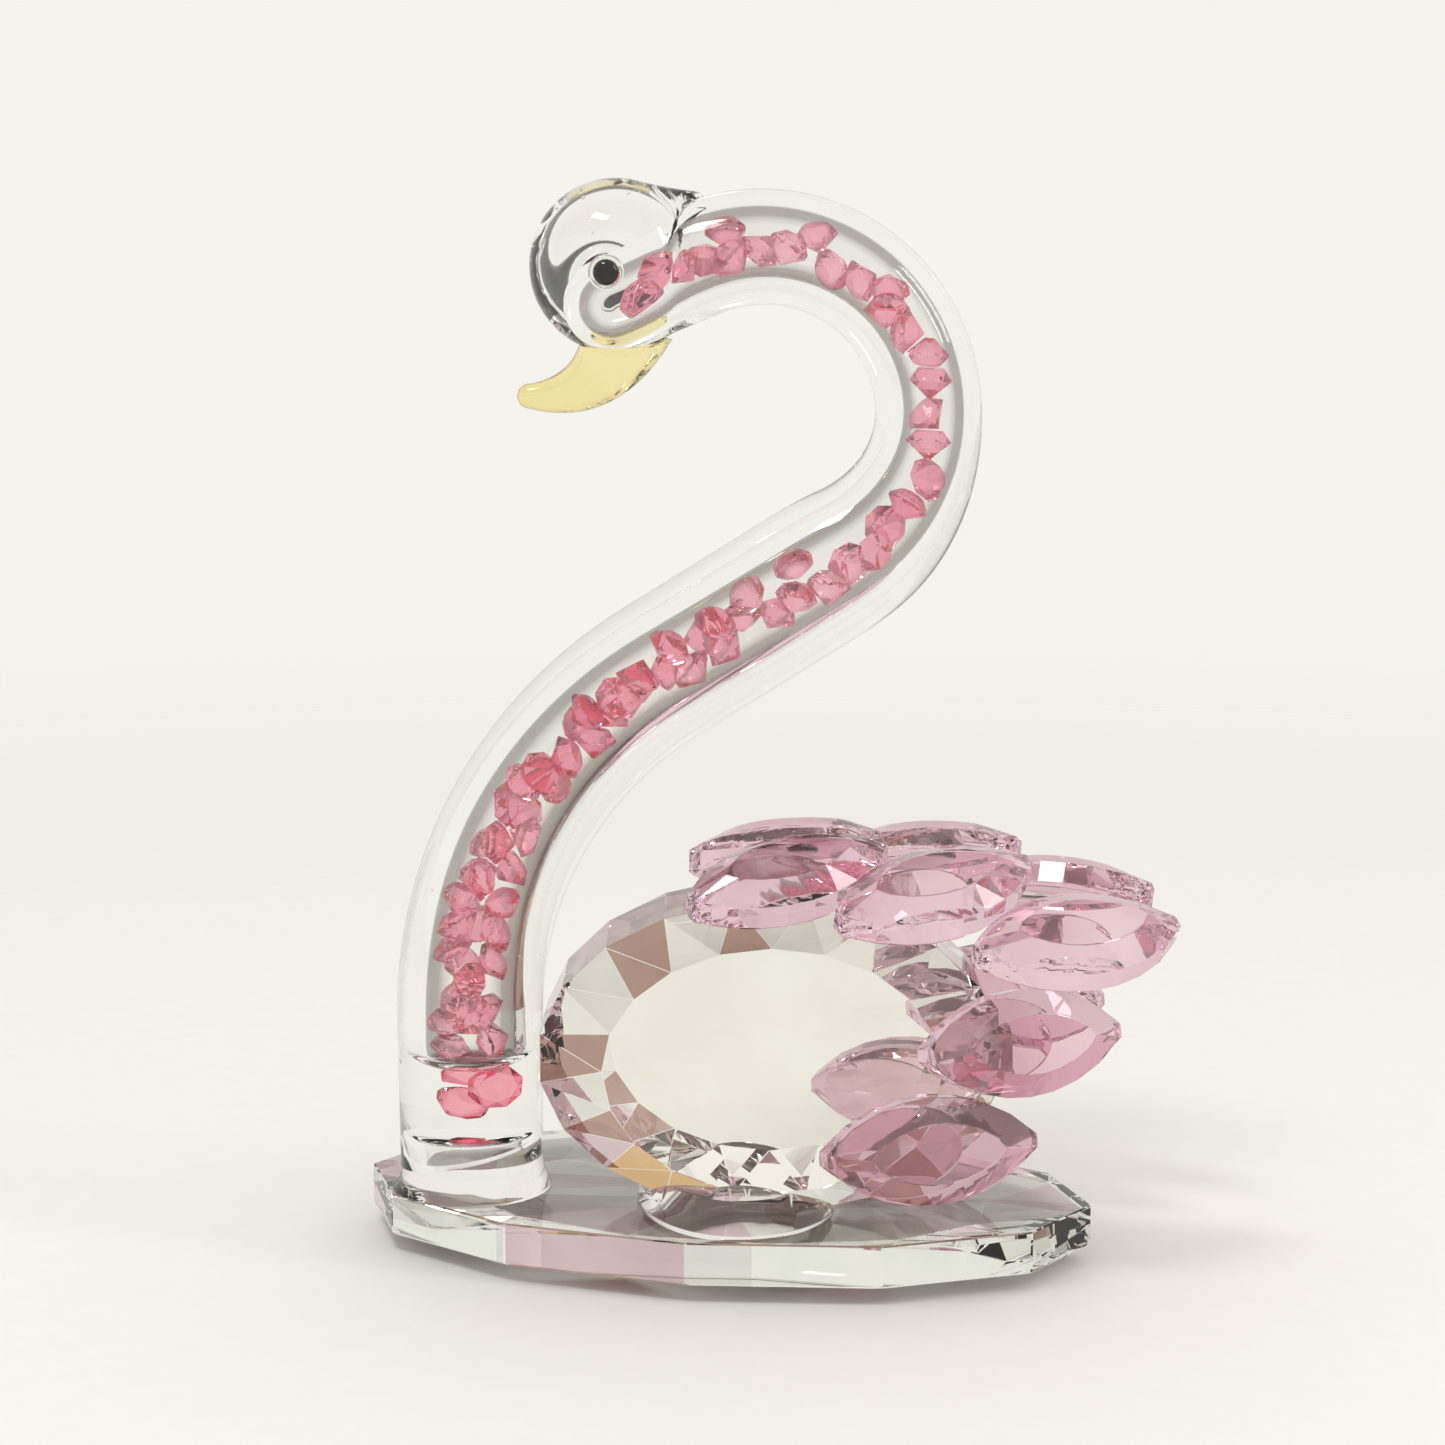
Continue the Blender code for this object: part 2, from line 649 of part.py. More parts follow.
class BeadPacker:
    """Drops the beads into the bore one after the other, from the plug to the head."""

    def __init__(self, neck):
        self.neck = neck
        self.random = random.Random(BEAD_SEED)
        self.step = BORE_STEP
        self.runs = np.arange(0.0, neck.end + neck.bore_radius(neck.end), self.step)
        frames = [neck.bore_frame(min(r, neck.end)) for r in self.runs]
        past = np.maximum(0.0, self.runs - neck.end)
        self.centres = np.array([tuple(f[0] + f[1] * p) for f, p in zip(frames, past)])
        self.radii = np.array([self.room(r) for r in self.runs])
        self.placed = []

    def room(self, run):
        """Free radius of the bore, which shrinks in its rounded end."""
        radius = self.neck.bore_radius(min(run, self.neck.end))
        past = max(0.0, run - (self.neck.end - TUBE_END_LEAD))
        radius = math.sqrt(max(0.0, radius * radius - past * past))
        return radius * math.cos(math.pi / BORE_SIDES) - BEAD_WALL_GAP

    def trial(self, shape, place, turn):
        """A cluster set in the bore: its bodies, run along the bore, place and attitude."""
        away = np.linalg.norm(self.centres - place, axis=1)
        bodies = [moved(body, place, turn) for body in shape]
        return bodies, self.runs[away.argmin()], place, turn

    def inside(self, trial):
        corners = np.concatenate([body[0] for body in trial[0]])
        low = max(0, int((trial[1] - CLUSTER_REACH) / self.step))
        high = min(len(self.runs), int((trial[1] + CLUSTER_REACH) / self.step) + 2)
        away = np.linalg.norm(corners[:, None, :] - self.centres[None, low:high, :], axis=2)
        nearest = away.argmin(axis=1)
        if (nearest + low >= len(self.runs) - 1).any():
            return False
        foot, tangent, _ = self.neck.bore_frame(0.0)
        depth = ((corners - np.array(foot)) @ np.array(tangent)).min()
        if depth < PLUG_HEIGHT + BEAD_WALL_GAP:
            return False
        return bool((away.min(axis=1) <= self.radii[low:high][nearest]).all())

    def fits(self, trial):
        near = [t for t in self.placed if abs(t[1] - trial[1]) < 2 * CLUSTER_REACH]
        others = [body for t in near for body in t[0]]
        return self.inside(trial) and all(
            spread(body, other) > BEAD_TO_BEAD for other in others for body in trial[0]
        )

    def cost(self, trial):
        """Beads sink along the bore and lie on its lower side."""
        place = trial[2]
        nearest = np.linalg.norm(self.centres - place, axis=1).argmin()
        _, tangent, _ = self.neck.bore_frame(min(trial[1], self.neck.end))
        ahead = float((place - self.centres[nearest]) @ np.array(tangent))
        level = float(place[2] - self.centres[nearest][2])
        return trial[1] + ahead + BEAD_LEVEL_WEIGHT * level

    def thrown(self, shape, front):
        """The cluster in a random attitude at a random place across the bore."""
        draw = self.random
        run = front + draw.uniform(*BEAD_THROW)
        run = min(max(run, PLUG_HEIGHT), self.neck.end)
        centre, tangent, normal = self.neck.bore_frame(run)
        room = max(0.0, self.neck.bore_radius(run) - (BEAD_CROWN + BEAD_PAVILION) / 2)
        aside, turn = room * math.sqrt(draw.random()), draw.uniform(0, 2 * math.pi)
        across = Vector((0, 1, 0))
        place = centre + normal * (aside * math.cos(turn)) + across * (aside * math.sin(turn))
        lean = room / BEAD_DIAMETER
        way = tangent + Vector([draw.gauss(0, lean) for _ in range(3)])
        attitude = Vector((0, 0, 1)).rotation_difference(way).to_matrix()
        attitude = attitude @ Matrix.Rotation(draw.uniform(0, 2 * math.pi), 3, "Z")
        return self.trial(shape, np.array(place), np.array(attitude))

    def nudged(self, shape, trial, share):
        draw = self.random
        move = np.array([draw.gauss(0, 1) for _ in range(3)]) * BEAD_NUDGE * share
        turn = random_turn(draw, draw.gauss(0, BEAD_TWIST) * share)
        return self.trial(shape, trial[2] + move, turn @ trial[3])

    def add_next(self, shape):
        front = max((t[1] for t in self.placed), default=PLUG_HEIGHT)
        best, value = None, math.inf
        for attempt in range(BEAD_TRIES * BEAD_PATIENCE):
            if best is not None and attempt >= BEAD_TRIES:
                break
            trial = self.thrown(shape, front)
            cost = self.cost(trial)
            if cost < value and self.fits(trial):
                best, value = trial, cost
        if best is None:
            return False
        for step in range(BEAD_SETTLING):
            trial = self.nudged(shape, best, 1 - step / BEAD_SETTLING)
            cost = self.cost(trial)
            if cost < value and self.fits(trial):
                best, value = trial, cost
        self.placed.append(best)
        return True

    def pack(self):
        for number in range(BEAD_NODES):
            if not self.add_next(bead_cluster(number)):
                print("the bore is full after", number, "nodes")
                break
        return [trial[0] for trial in self.placed]


def make_beads(neck, pink):
    faces = bead_shape()[2]
    for number, bodies in enumerate(BeadPacker(neck).pack(), start=1):
        name = f"beads_{number:02d}"
        item = add_object(name, mesh_from(name, bodies[0][0], faces), pink)
        for points, _ in bodies[1:]:
            combine(item, add_object("extra", mesh_from("extra", points, faces), pink), "UNION")


# Feather stones
def stone_outline():
    """Half-plan of the navette as (along, half width), from tip to tip."""
    half = STONE_LENGTH / 2
    rise = STONE_WIDTH / 2 - STONE_TIP / 2
    radius = (half * half + rise * rise) / (2 * rise)
    points = []
    for k in range(STONE_EDGE_FACETS + 1):
        along = -half + STONE_LENGTH * k / STONE_EDGE_FACETS
        height = math.sqrt(radius * radius - along * along) - (radius - rise)
        points.append((along, height + STONE_TIP / 2))
    return points


def stone_shape():
    """Flat back at y = 0, straight girdle, low roof to a short ridge in front."""
    upper = stone_outline()
    plan = upper + [(x, -z) for x, z in reversed(upper)]
    count = len(plan)
    points = [(x, 0.0, z) for x, z in plan]
    points += [(x, -STONE_GIRDLE, z) for x, z in plan]
    crown = -STONE_GIRDLE - STONE_CROWN
    left, right = 2 * count, 2 * count + 1
    points += [(-STONE_RIDGE / 2, crown, 0.0), (STONE_RIDGE / 2, crown, 0.0)]
    faces = [tuple(range(count))]
    faces += between_rings(0, count, count)
    for k in range(count):
        after = (k + 1) % count
        start = left if plan[k][0] < 0 else right
        end = left if plan[after][0] < 0 else right
        faces.append((count + k, count + after, start))
        if start != end:
            faces.append((count + after, end, start))
    return points, faces


def feather_points(points, place, stand):
    """Corners of a stone on the near side, its middle this far off the mid-plane."""
    x_share, z_share, inward, slope, lean = place
    x, z = x_share * BODY_LENGTH, z_share * BODY_HEIGHT
    turn_in = Matrix.Rotation(math.radians(inward), 4, "Z")
    lean_back = Matrix.Rotation(math.radians(-lean), 4, "X")
    climb = Matrix.Rotation(math.radians(-slope), 4, "Y")
    middle = Matrix.Translation(body_centre() + Vector((x, -stand, z)))
    matrix = middle @ climb @ turn_in @ lean_back
    return [matrix @ Vector(p) for p in points]


def seated_stand(points, faces, place, carriers):
    """How far off the mid-plane a stone stops when it is pressed towards the body."""
    stand = BODY_LENGTH / 2
    step = SEAT_GAP / 3
    while stand > 0.0:
        trial = convex(feather_points(points, place, stand - step), faces)
        over = trial[0][:, 1].max() > BODY_Y - SEAT_GAP / 2
        if over or any(spread(trial, other) < SEAT_GAP for other in carriers):
            break
        stand -= step
    return stand


def make_feathers(rose):
    """Lays each pair on the body and on the pair before it."""
    points, faces = stone_shape()
    carriers = [convex(body_points(), body_faces())]
    mirror = Matrix.Translation((0, 2 * BODY_Y, 0)) @ Matrix.Diagonal((1, -1, 1, 1))
    for label, place in FEATHERS.items():
        stand = seated_stand(points, faces, place, carriers)
        near = feather_points(points, place, stand)
        carriers.append(convex(near, faces))
        for word, corners in (("near", near), ("far", [mirror @ p for p in near])):
            name = f"feather_{label}_{word}"
            add_object(name, mesh_from(name, corners, faces), rose)


def centre_on_box():
    """Moves all pieces so that the origin lies under the middle of the box."""
    corners = np.array(
        [tuple(v.co) for item in bpy.data.objects for v in item.data.vertices]
    )
    low, high = corners.min(axis=0), corners.max(axis=0)
    shift = Matrix.Translation((-(low[0] + high[0]) / 2, -(low[1] + high[1]) / 2, -low[2]))
    for item in bpy.data.objects:
        item.data.transform(shift)


def main():
    clear_scene()
    clear_glass = material("clear_glass", (0.93, 0.94, 0.93), 0.02)
    crystal = material("cut_crystal", (0.90, 0.92, 0.90), 0.02)
    pink_glass = material("pink_bead_glass", (0.86, 0.24, 0.33), 0.08)
    rose_glass = material("rose_stone_glass", (0.80, 0.52, 0.64), 0.04)
    amber_glass = material("amber_glass", (0.88, 0.76, 0.38), 0.04)
    black_glass = material("black_glass", (0.02, 0.02, 0.02), 0.1, transmission=0.0)
    resin = material("clear_resin", (0.92, 0.92, 0.90), 0.05)

    make_plate(crystal)
    make_body(crystal)
    body = body_centre()
    foot_x = body.x - BODY_LENGTH / 2 - SEAT_GAP - NECK_FOOT_OD / 2
    slant_rise = NECK_FOOT_OD / 2 * math.tan(NECK_FOOT_SLANT)
    foot_z = PLATE_BEVEL_DROP + PLATE_GIRDLE + NECK_FOOT_LIFT + slant_rise
    neck = Neck(neck_line(foot_x, foot_z))
    make_neck(neck, clear_glass)
    make_beak(neck, amber_glass)
    make_eye("eye_near", neck, -1, black_glass)
    make_eye("eye_far", neck, 1, black_glass)
    make_plug(neck, resin)
    make_beads(neck, pink_glass)
    make_feathers(rose_glass)
    centre_on_box()


main()
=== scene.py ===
# Looks for the glass swan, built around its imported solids.
import math
import random

import bmesh
import bpy
import numpy as np
from mathutils import Matrix, Vector


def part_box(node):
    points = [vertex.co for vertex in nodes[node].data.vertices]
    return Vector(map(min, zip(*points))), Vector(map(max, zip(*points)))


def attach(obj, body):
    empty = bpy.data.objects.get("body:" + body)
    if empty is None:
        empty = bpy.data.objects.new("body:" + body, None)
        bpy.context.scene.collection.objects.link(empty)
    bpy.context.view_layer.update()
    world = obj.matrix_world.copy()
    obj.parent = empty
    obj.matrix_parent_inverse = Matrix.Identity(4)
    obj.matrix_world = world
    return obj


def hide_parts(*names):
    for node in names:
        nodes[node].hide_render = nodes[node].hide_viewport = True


mm = 0.001
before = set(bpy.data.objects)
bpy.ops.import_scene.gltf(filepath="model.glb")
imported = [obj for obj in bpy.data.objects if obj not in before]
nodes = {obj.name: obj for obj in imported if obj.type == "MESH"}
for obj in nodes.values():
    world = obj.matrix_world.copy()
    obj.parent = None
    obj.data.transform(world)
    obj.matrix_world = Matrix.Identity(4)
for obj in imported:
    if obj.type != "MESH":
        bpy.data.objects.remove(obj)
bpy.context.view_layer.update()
across = Vector((0, 1, 0))


def boxMiddle(node):
    low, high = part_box(node)
    return (Vector(low) + Vector(high)) / 2


bodyMiddle = boxMiddle("body_crystal")
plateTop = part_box("base_plate")[1][2]


# Shader nodes

class Wire:
    # one output socket, so that shader maths reads as plain expressions
    def __init__(self, net, socket):
        self.net = net
        self.socket = socket

    def math(self, operation, first, second):
        return self.net.add("ShaderNodeMath", {"operation": operation}, {0: first, 1: second})

    def __add__(self, other):
        return self.math("ADD", self, other)

    def __sub__(self, other):
        return self.math("SUBTRACT", self, other)

    def __mul__(self, other):
        return self.math("MULTIPLY", self, other)

    def __radd__(self, other):
        return self.math("ADD", other, self)

    def __rsub__(self, other):
        return self.math("SUBTRACT", other, self)

    def __rmul__(self, other):
        return self.math("MULTIPLY", other, self)


class Net:
    # the node tree of one material or of the world
    def __init__(self, owner):
        owner.use_nodes = True
        self.tree = owner.node_tree
        self.tree.nodes.clear()

    def add(self, kind, settings=None, sockets=None, output=0):
        node = self.tree.nodes.new(kind)
        for name, value in (settings or {}).items():
            if name == "stops":
                self.setStops(node.color_ramp, value)
            else:
                setattr(node, name, value)
        for name, value in (sockets or {}).items():
            socket = node.inputs[name]
            if isinstance(value, Wire):
                self.tree.links.new(value.socket, socket)
            else:
                socket.default_value = value
        if isinstance(output, tuple):
            return [Wire(self, node.outputs[name]) for name in output]
        return Wire(self, node.outputs[output]) if len(node.outputs) else None

    def setStops(self, ramp, stops):
        while len(ramp.elements) < len(stops):
            ramp.elements.new(0.5)
        for element, (place, shade) in zip(ramp.elements, stops):
            element.position = place
            element.color = (*shade, 1) if isinstance(shade, tuple) else (shade, shade, shade, 1)

    def blend(self, factor, first, second):
        settings = {"data_type": "RGBA"}
        return self.add("ShaderNodeMix", settings, {0: factor, 6: first, 7: second}, output=2)

    def noise(self, place, scale, detail=2.0, rough=0.5):
        values = {"Vector": place, "Scale": scale, "Detail": detail, "Roughness": rough}
        return self.add("ShaderNodeTexNoise", None, values)

    def ramp(self, factor, stops):
        return self.add("ShaderNodeValToRGB", {"stops": stops}, {"Fac": factor})


def rgb(red, green, blue):
    # a colour given as the 0 to 255 numbers of a picture
    def linear(part):
        part = part / 255
        return part / 12.92 if part <= 0.04045 else ((part + 0.055) / 1.055) ** 2.4
    return (linear(red), linear(green), linear(blue), 1)


# Finishes

# each finish's edge colour is painted edge shade, which glassFinish blends in towards grazing angles
finishes = {
    "clearGlass": {
        "tint": rgb(252, 253, 251), "deep": rgb(246, 248, 246), "ior": 1.47,
        "rough": 0.0, "smudge": 0.01, "ripple": 0.02, "rippleScale": 160,
        "edge": rgb(160, 154, 150), "edgeStart": 0.74, "edgeEnd": 1.0,
    },
    "headGlass": {
        "tint": rgb(252, 253, 252), "deep": rgb(247, 249, 248), "ior": 1.47,
        "rough": 0.0, "smudge": 0.02, "ripple": 0.02, "rippleScale": 160,
        "edge": rgb(208, 205, 202), "edgeStart": 0.7, "edgeEnd": 1.0,
    },
    # painted shade on the bore's wall: its grey-brown edge colour starts at a low facing value, so most of
    # the wall is darkened and the neck's inner lines are drawn
    "boreWall": {
        "tint": rgb(250, 250, 248), "deep": rgb(242, 242, 239), "ior": 1.47,
        "rough": 0.0, "smudge": 0.01, "ripple": 0.0, "rippleScale": 160,
        "edge": rgb(142, 134, 129), "edgeStart": 0.12, "edgeEnd": 0.32,
    },
    "bodyCrystal": {
        "tint": rgb(248, 248, 243), "deep": rgb(238, 238, 230), "ior": 1.52,
        "rough": 0.0, "smudge": 0.05, "ripple": 0.0, "rippleScale": 100,
        "edge": rgb(150, 138, 130), "edgeStart": 0.7, "edgeEnd": 1.0,
    },
    "plateCrystal": {
        "tint": rgb(246, 248, 242), "deep": rgb(234, 238, 229), "ior": 1.52,
        "rough": 0.01, "smudge": 0.08, "ripple": 0.0, "rippleScale": 100,
        "edge": rgb(200, 204, 192), "edgeStart": 0.7, "edgeEnd": 1.0,
    },
    # tinted facets that paint reflections onto the body and plate, in taupe, grey, amber and mauve
    "smokyFacet": {
        "tint": rgb(146, 102, 90), "deep": rgb(116, 76, 66), "ior": 1.52,
        "rough": 0.0, "smudge": 0.05, "ripple": 0.0, "rippleScale": 100,
        "edge": rgb(96, 70, 64), "edgeStart": 0.7, "edgeEnd": 1.0,
    },
    "mistFacet": {
        "tint": rgb(222, 221, 214), "deep": rgb(198, 197, 190), "ior": 1.52,
        "rough": 0.0, "smudge": 0.05, "ripple": 0.0, "rippleScale": 100,
        "edge": rgb(150, 138, 130), "edgeStart": 0.7, "edgeEnd": 1.0,
    },
    "amberFacet": {
        "tint": rgb(222, 168, 104), "deep": rgb(200, 132, 66), "ior": 1.52,
        "rough": 0.0, "smudge": 0.05, "ripple": 0.0, "rippleScale": 100,
        "edge": rgb(150, 90, 60), "edgeStart": 0.7, "edgeEnd": 1.0,
    },
    "mauveFacet": {
        "tint": rgb(214, 180, 190), "deep": rgb(186, 140, 156), "ior": 1.52,
        "rough": 0.0, "smudge": 0.05, "ripple": 0.0, "rippleScale": 100,
        "edge": rgb(130, 80, 100), "edgeStart": 0.7, "edgeEnd": 1.0,
    },
    "pinkBead": {
        "tint": rgb(255, 196, 212), "deep": rgb(252, 140, 170), "ior": 1.5,
        "rough": 0.0, "smudge": 0.04, "ripple": 0.0, "rippleScale": 300,
        "edge": rgb(216, 36, 92), "edgeStart": 0.3, "edgeEnd": 0.85,
    },
    "setBead": {
        "tint": rgb(255, 190, 204), "deep": rgb(252, 130, 160), "ior": 1.12,
        "rough": 0.0, "smudge": 0.04, "ripple": 0.0, "rippleScale": 300,
        "edge": rgb(216, 36, 92), "edgeStart": 0.2, "edgeEnd": 0.75,
    },
    "roseStone": {
        "tint": rgb(243, 216, 227), "deep": rgb(226, 182, 202), "ior": 1.54,
        "rough": 0.01, "smudge": 0.05, "ripple": 0.0, "rippleScale": 300,
        "edge": rgb(176, 96, 132), "edgeStart": 0.45, "edgeEnd": 0.95,
    },
    "amberGlass": {
        "tint": rgb(252, 243, 190), "deep": rgb(246, 230, 152), "ior": 1.5,
        "rough": 0.0, "smudge": 0.04, "ripple": 0.03, "rippleScale": 200,
        "edge": rgb(104, 66, 22), "edgeStart": 0.42, "edgeEnd": 0.92,
    },
    "clearGlue": {
        "tint": rgb(251, 250, 247), "deep": rgb(244, 242, 237), "ior": 1.45,
        "rough": 0.0, "smudge": 0.04, "ripple": 0.06, "rippleScale": 350,
        "edge": rgb(110, 96, 88), "edgeStart": 0.55, "edgeEnd": 0.95,
    },
}


def glassFinish(name):
    look = finishes[name]
    made = bpy.data.materials.new(name)
    net = Net(made)
    place = net.add("ShaderNodeTexCoord", output=3)
    cloud = net.noise(place, 90, 3)
    specks = net.ramp(net.noise(place, 900, 4, 0.7), [(0.62, 0.0), (0.8, 1.0)])
    tint = net.blend(net.ramp(cloud, [(0.35, 0.0), (0.7, 1.0)]), look["tint"], look["deep"])
    # painted edge shade: towards grazing angles the tint turns to the finish's edge colour, which draws
    # dark outlines on the glass
    facing = net.add("ShaderNodeLayerWeight", None, {"Blend": 0.5}, output=1)
    paintedEdgeShade = net.ramp(facing, [(look["edgeStart"], 0.0), (look["edgeEnd"], 1.0)])
    sockets = {
        "Base Color": net.blend(paintedEdgeShade, tint, look["edge"]),
        "Roughness": specks * look["smudge"] + look["rough"],
        "IOR": look["ior"],
        "Transmission Weight": 1.0,
    }
    if look["ripple"] > 0:
        height = net.noise(place, look["rippleScale"], 1)
        values = {"Height": height, "Strength": look["ripple"], "Distance": 0.3 * mm}
        sockets["Normal"] = net.add("ShaderNodeBump", None, values)
    shader = net.add("ShaderNodeBsdfPrincipled", None, sockets)
    net.add("ShaderNodeOutputMaterial", None, {"Surface": shader})
    return made


def blackFinish():
    made = bpy.data.materials.new("blackBead")
    net = Net(made)
    place = net.add("ShaderNodeTexCoord", output=3)
    shade = net.blend(net.noise(place, 600, 3), rgb(14, 13, 12), rgb(40, 38, 34))
    values = {"Base Color": shade, "Roughness": 0.06, "IOR": 1.5}
    shader = net.add("ShaderNodeBsdfPrincipled", None, values)
    net.add("ShaderNodeOutputMaterial", None, {"Surface": shader})
    return made


looks = {name: glassFinish(name) for name in finishes}
looks["blackBead"] = blackFinish()
print("finishes ready")


# Meshes

def addPiece(name, mesh, look, slot, *replaced):
    piece = bpy.data.objects.new(name, mesh)
    bpy.context.scene.collection.objects.link(piece)
    mesh.materials.clear()
    mesh.materials.append(looks[look])
    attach(piece, "root")
    if replaced:
        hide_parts(*replaced)
    return piece


def meshFrom(name, points, faces):
    mesh = bpy.data.meshes.new(name)
    mesh.from_pydata([tuple(p) for p in points], [], faces)
    work = bmesh.new()
    work.from_mesh(mesh)
    bmesh.ops.recalc_face_normals(work, faces=work.faces)
    work.to_mesh(mesh)
    work.free()
    return mesh


def sweep(name, rings, sides, closeEnds=True):
    # rings are (centre, first radius vector, second radius vector)
    points, faces = [], []
    for centre, first, second in rings:
        for k in range(sides):
            turn = 2 * math.pi * k / sides
            points.append(centre + first * math.cos(turn) + second * math.sin(turn))
    for r in range(len(rings) - 1):
        for k in range(sides):
            a = r * sides + k
            b = r * sides + (k + 1) % sides
            faces.append((a, b, b + sides, a + sides))
    if closeEnds:
        faces.append(tuple(range(sides)))
        faces.append(tuple((len(rings) - 1) * sides + k for k in range(sides)))
    return meshFrom(name, points, faces)


def plainObject(name, mesh):
    made = bpy.data.objects.new(name, mesh)
    bpy.context.scene.collection.objects.link(made)
    return made


def combine(base, tool, operation):
    step = base.modifiers.new(operation, "BOOLEAN")
    step.operation = operation
    step.solver = "EXACT"
    step.object = tool
    graph = bpy.context.evaluated_depsgraph_get()
    mesh = bpy.data.meshes.new_from_object(base.evaluated_get(graph))
    base.modifiers.clear()
    base.data = mesh
    bpy.data.objects.remove(tool, do_unlink=True)


def smoothAll(mesh, angle=40):
    mesh.shade_smooth()
    mesh.set_sharp_from_angle(angle=math.radians(angle))


# Neck

neckShape = {
    "run": 11.7, "lowerRadius": 34.6, "lowerBend": 58.1, "straight": 18.5,
    "upperRadius": 13.7, "upperBend": 170.6, "endRun": 8.2,
    "footLift": 2.0, "footSlant": 12.0, "side": 3.2, "bodyGap": 0.3,
    "footDiameter": 12.2, "middleDiameter": 12.4, "narrowDiameter": 8.8, "headDiameter": 9.5,
    "footBore": 7.8, "middleBore": 6.5, "narrowBore": 5.0, "headBore": 5.9,
    "boreOffCentre": 0.3, "boreSkin": 0.25, "resinHeight": 9.0, "meniscus": 0.45,
    "narrowShare": 0.36, "wideShare": 0.2, "endShort": 0.5,
    "recess": 1.1, "recessDome": 0.25, "recessStep": 0.6,
    "sides": 72, "boreSides": 56, "step": 0.9, "boreSamples": 240, "smoothAngle": 50,
}
headShape = {
    "behind": 0.8, "above": 2.6, "radius": 7.15, "width": 12.8, "tailReach": 9.3,
    "tailAngle": 40.0, "tailHollow": 0.16, "crease": 0.9, "creaseRounds": 6,
    "ballRings": 32, "tailRings": 8, "sides": 64,
}


def eased(run, stations):
    for (start, low), (end, high) in zip(stations, stations[1:]):
        if run <= end:
            share = max(0.0, (run - start) / (end - start))
            return low + (high - low) * share * share * (3 - 2 * share)
    return stations[-1][1]


class NeckPath:
    # the neck's centreline, from its foot to the end inside the head
    def __init__(self, shape):
        self.shape = shape
        half = shape["footDiameter"] / 2
        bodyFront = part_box("body_crystal")[0][0]
        x = bodyFront - (shape["bodyGap"] + half) * mm
        rise = half * math.tan(math.radians(shape["footSlant"]))
        z = plateTop + (shape["footLift"] + rise) * mm
        self.y = bodyMiddle.y + shape["side"] * mm
        self.place = np.array([x, z])
        self.heading = math.pi / 2
        self.samples = [(0.0, x, z, self.heading)]
        self.run = 0.0
        lower = math.radians(shape["lowerBend"])
        upper = math.radians(shape["upperBend"])
        self.marks = {}
        self.extend("lowerBend", shape["run"], 0.0)
        self.extend("straight", shape["lowerRadius"] * lower, -lower)
        self.extend("upperBend", shape["straight"], 0.0)
        self.extend("head", shape["upperRadius"] * upper, upper)
        self.extend("end", shape["endRun"], 0.0)
        self.table = np.array(self.samples)
        self.setSizes()

    def extend(self, nextMark, length, bend):
        steps = max(2, round(length / 0.4))
        part = length / steps * mm
        for _ in range(steps):
            middle = self.heading + bend / steps / 2
            self.place = self.place + np.array([math.cos(middle), math.sin(middle)]) * part
            self.heading += bend / steps
            self.run += part
            self.samples.append((self.run, *self.place, self.heading))
        self.marks[nextMark] = self.run

    def setSizes(self):
        s = self.shape
        marks = self.marks
        arc = marks["head"] - marks["upperBend"]
        narrow = marks["upperBend"] + arc * s["narrowShare"]
        wide = marks["upperBend"] - s["straight"] * mm * s["wideShare"]
        half = mm / 2
        self.outer = [
            (0.0, s["footDiameter"] * half),
            (marks["lowerBend"], s["middleDiameter"] * half),
            (wide, s["middleDiameter"] * half),
            (narrow, s["narrowDiameter"] * half),
            (marks["head"], s["headDiameter"] * half),
        ]
        self.bore = [
            (0.0, s["footBore"] * half),
            (marks["straight"], s["middleBore"] * half),
            (wide, s["middleBore"] * half),
            (narrow, s["narrowBore"] * half),
            (marks["head"], s["headBore"] * half),
        ]
        self.shift = [
            (0.0, 0.0), (marks["lowerBend"], 0.0),
            ((marks["lowerBend"] + marks["straight"]) / 2, -1.0),
            (marks["upperBend"], 0.0), (narrow, 1.0), (marks["head"], 1.0), (marks["end"], 0.0),
        ]

    def at(self, run):
        t = self.table
        x, z, heading = (np.interp(run, t[:, 0], t[:, k]) for k in (1, 2, 3))
        ahead = Vector((math.cos(heading), 0, math.sin(heading)))
        aside = Vector((math.sin(heading), 0, -math.cos(heading)))
        return Vector((x, self.y, z)), ahead, aside

    def boreAt(self, run):
        centre, ahead, aside = self.at(run)
        off = eased(run, self.shift) * self.shape["boreOffCentre"] * mm
        return centre + aside * off, ahead, aside


def tubeRings(where, radius, start, end, step):
    count = math.ceil((end - start) / step)
    rings = []
    for k in range(count + 1):
        run = start + (end - start) * k / count
        centre, ahead, aside = where(max(run, 0.0))
        centre = centre + ahead * min(run, 0.0)
        size = radius(max(run, 0.0))
        rings.append((centre, aside * size, across * size))
    return rings


def capRings(where, radius, run, forward=True, depth=1.0, steps=9):
    centre, ahead, aside = where(run)
    size = radius(run)
    way = ahead if forward else -ahead
    rings = []
    for k in range(1, steps + 1):
        turn = math.pi / 2 * k / (steps + 0.3)
        spot = centre + way * (size * depth * math.sin(turn))
        rings.append((spot, aside * (size * math.cos(turn)), across * (size * math.cos(turn))))
    return rings


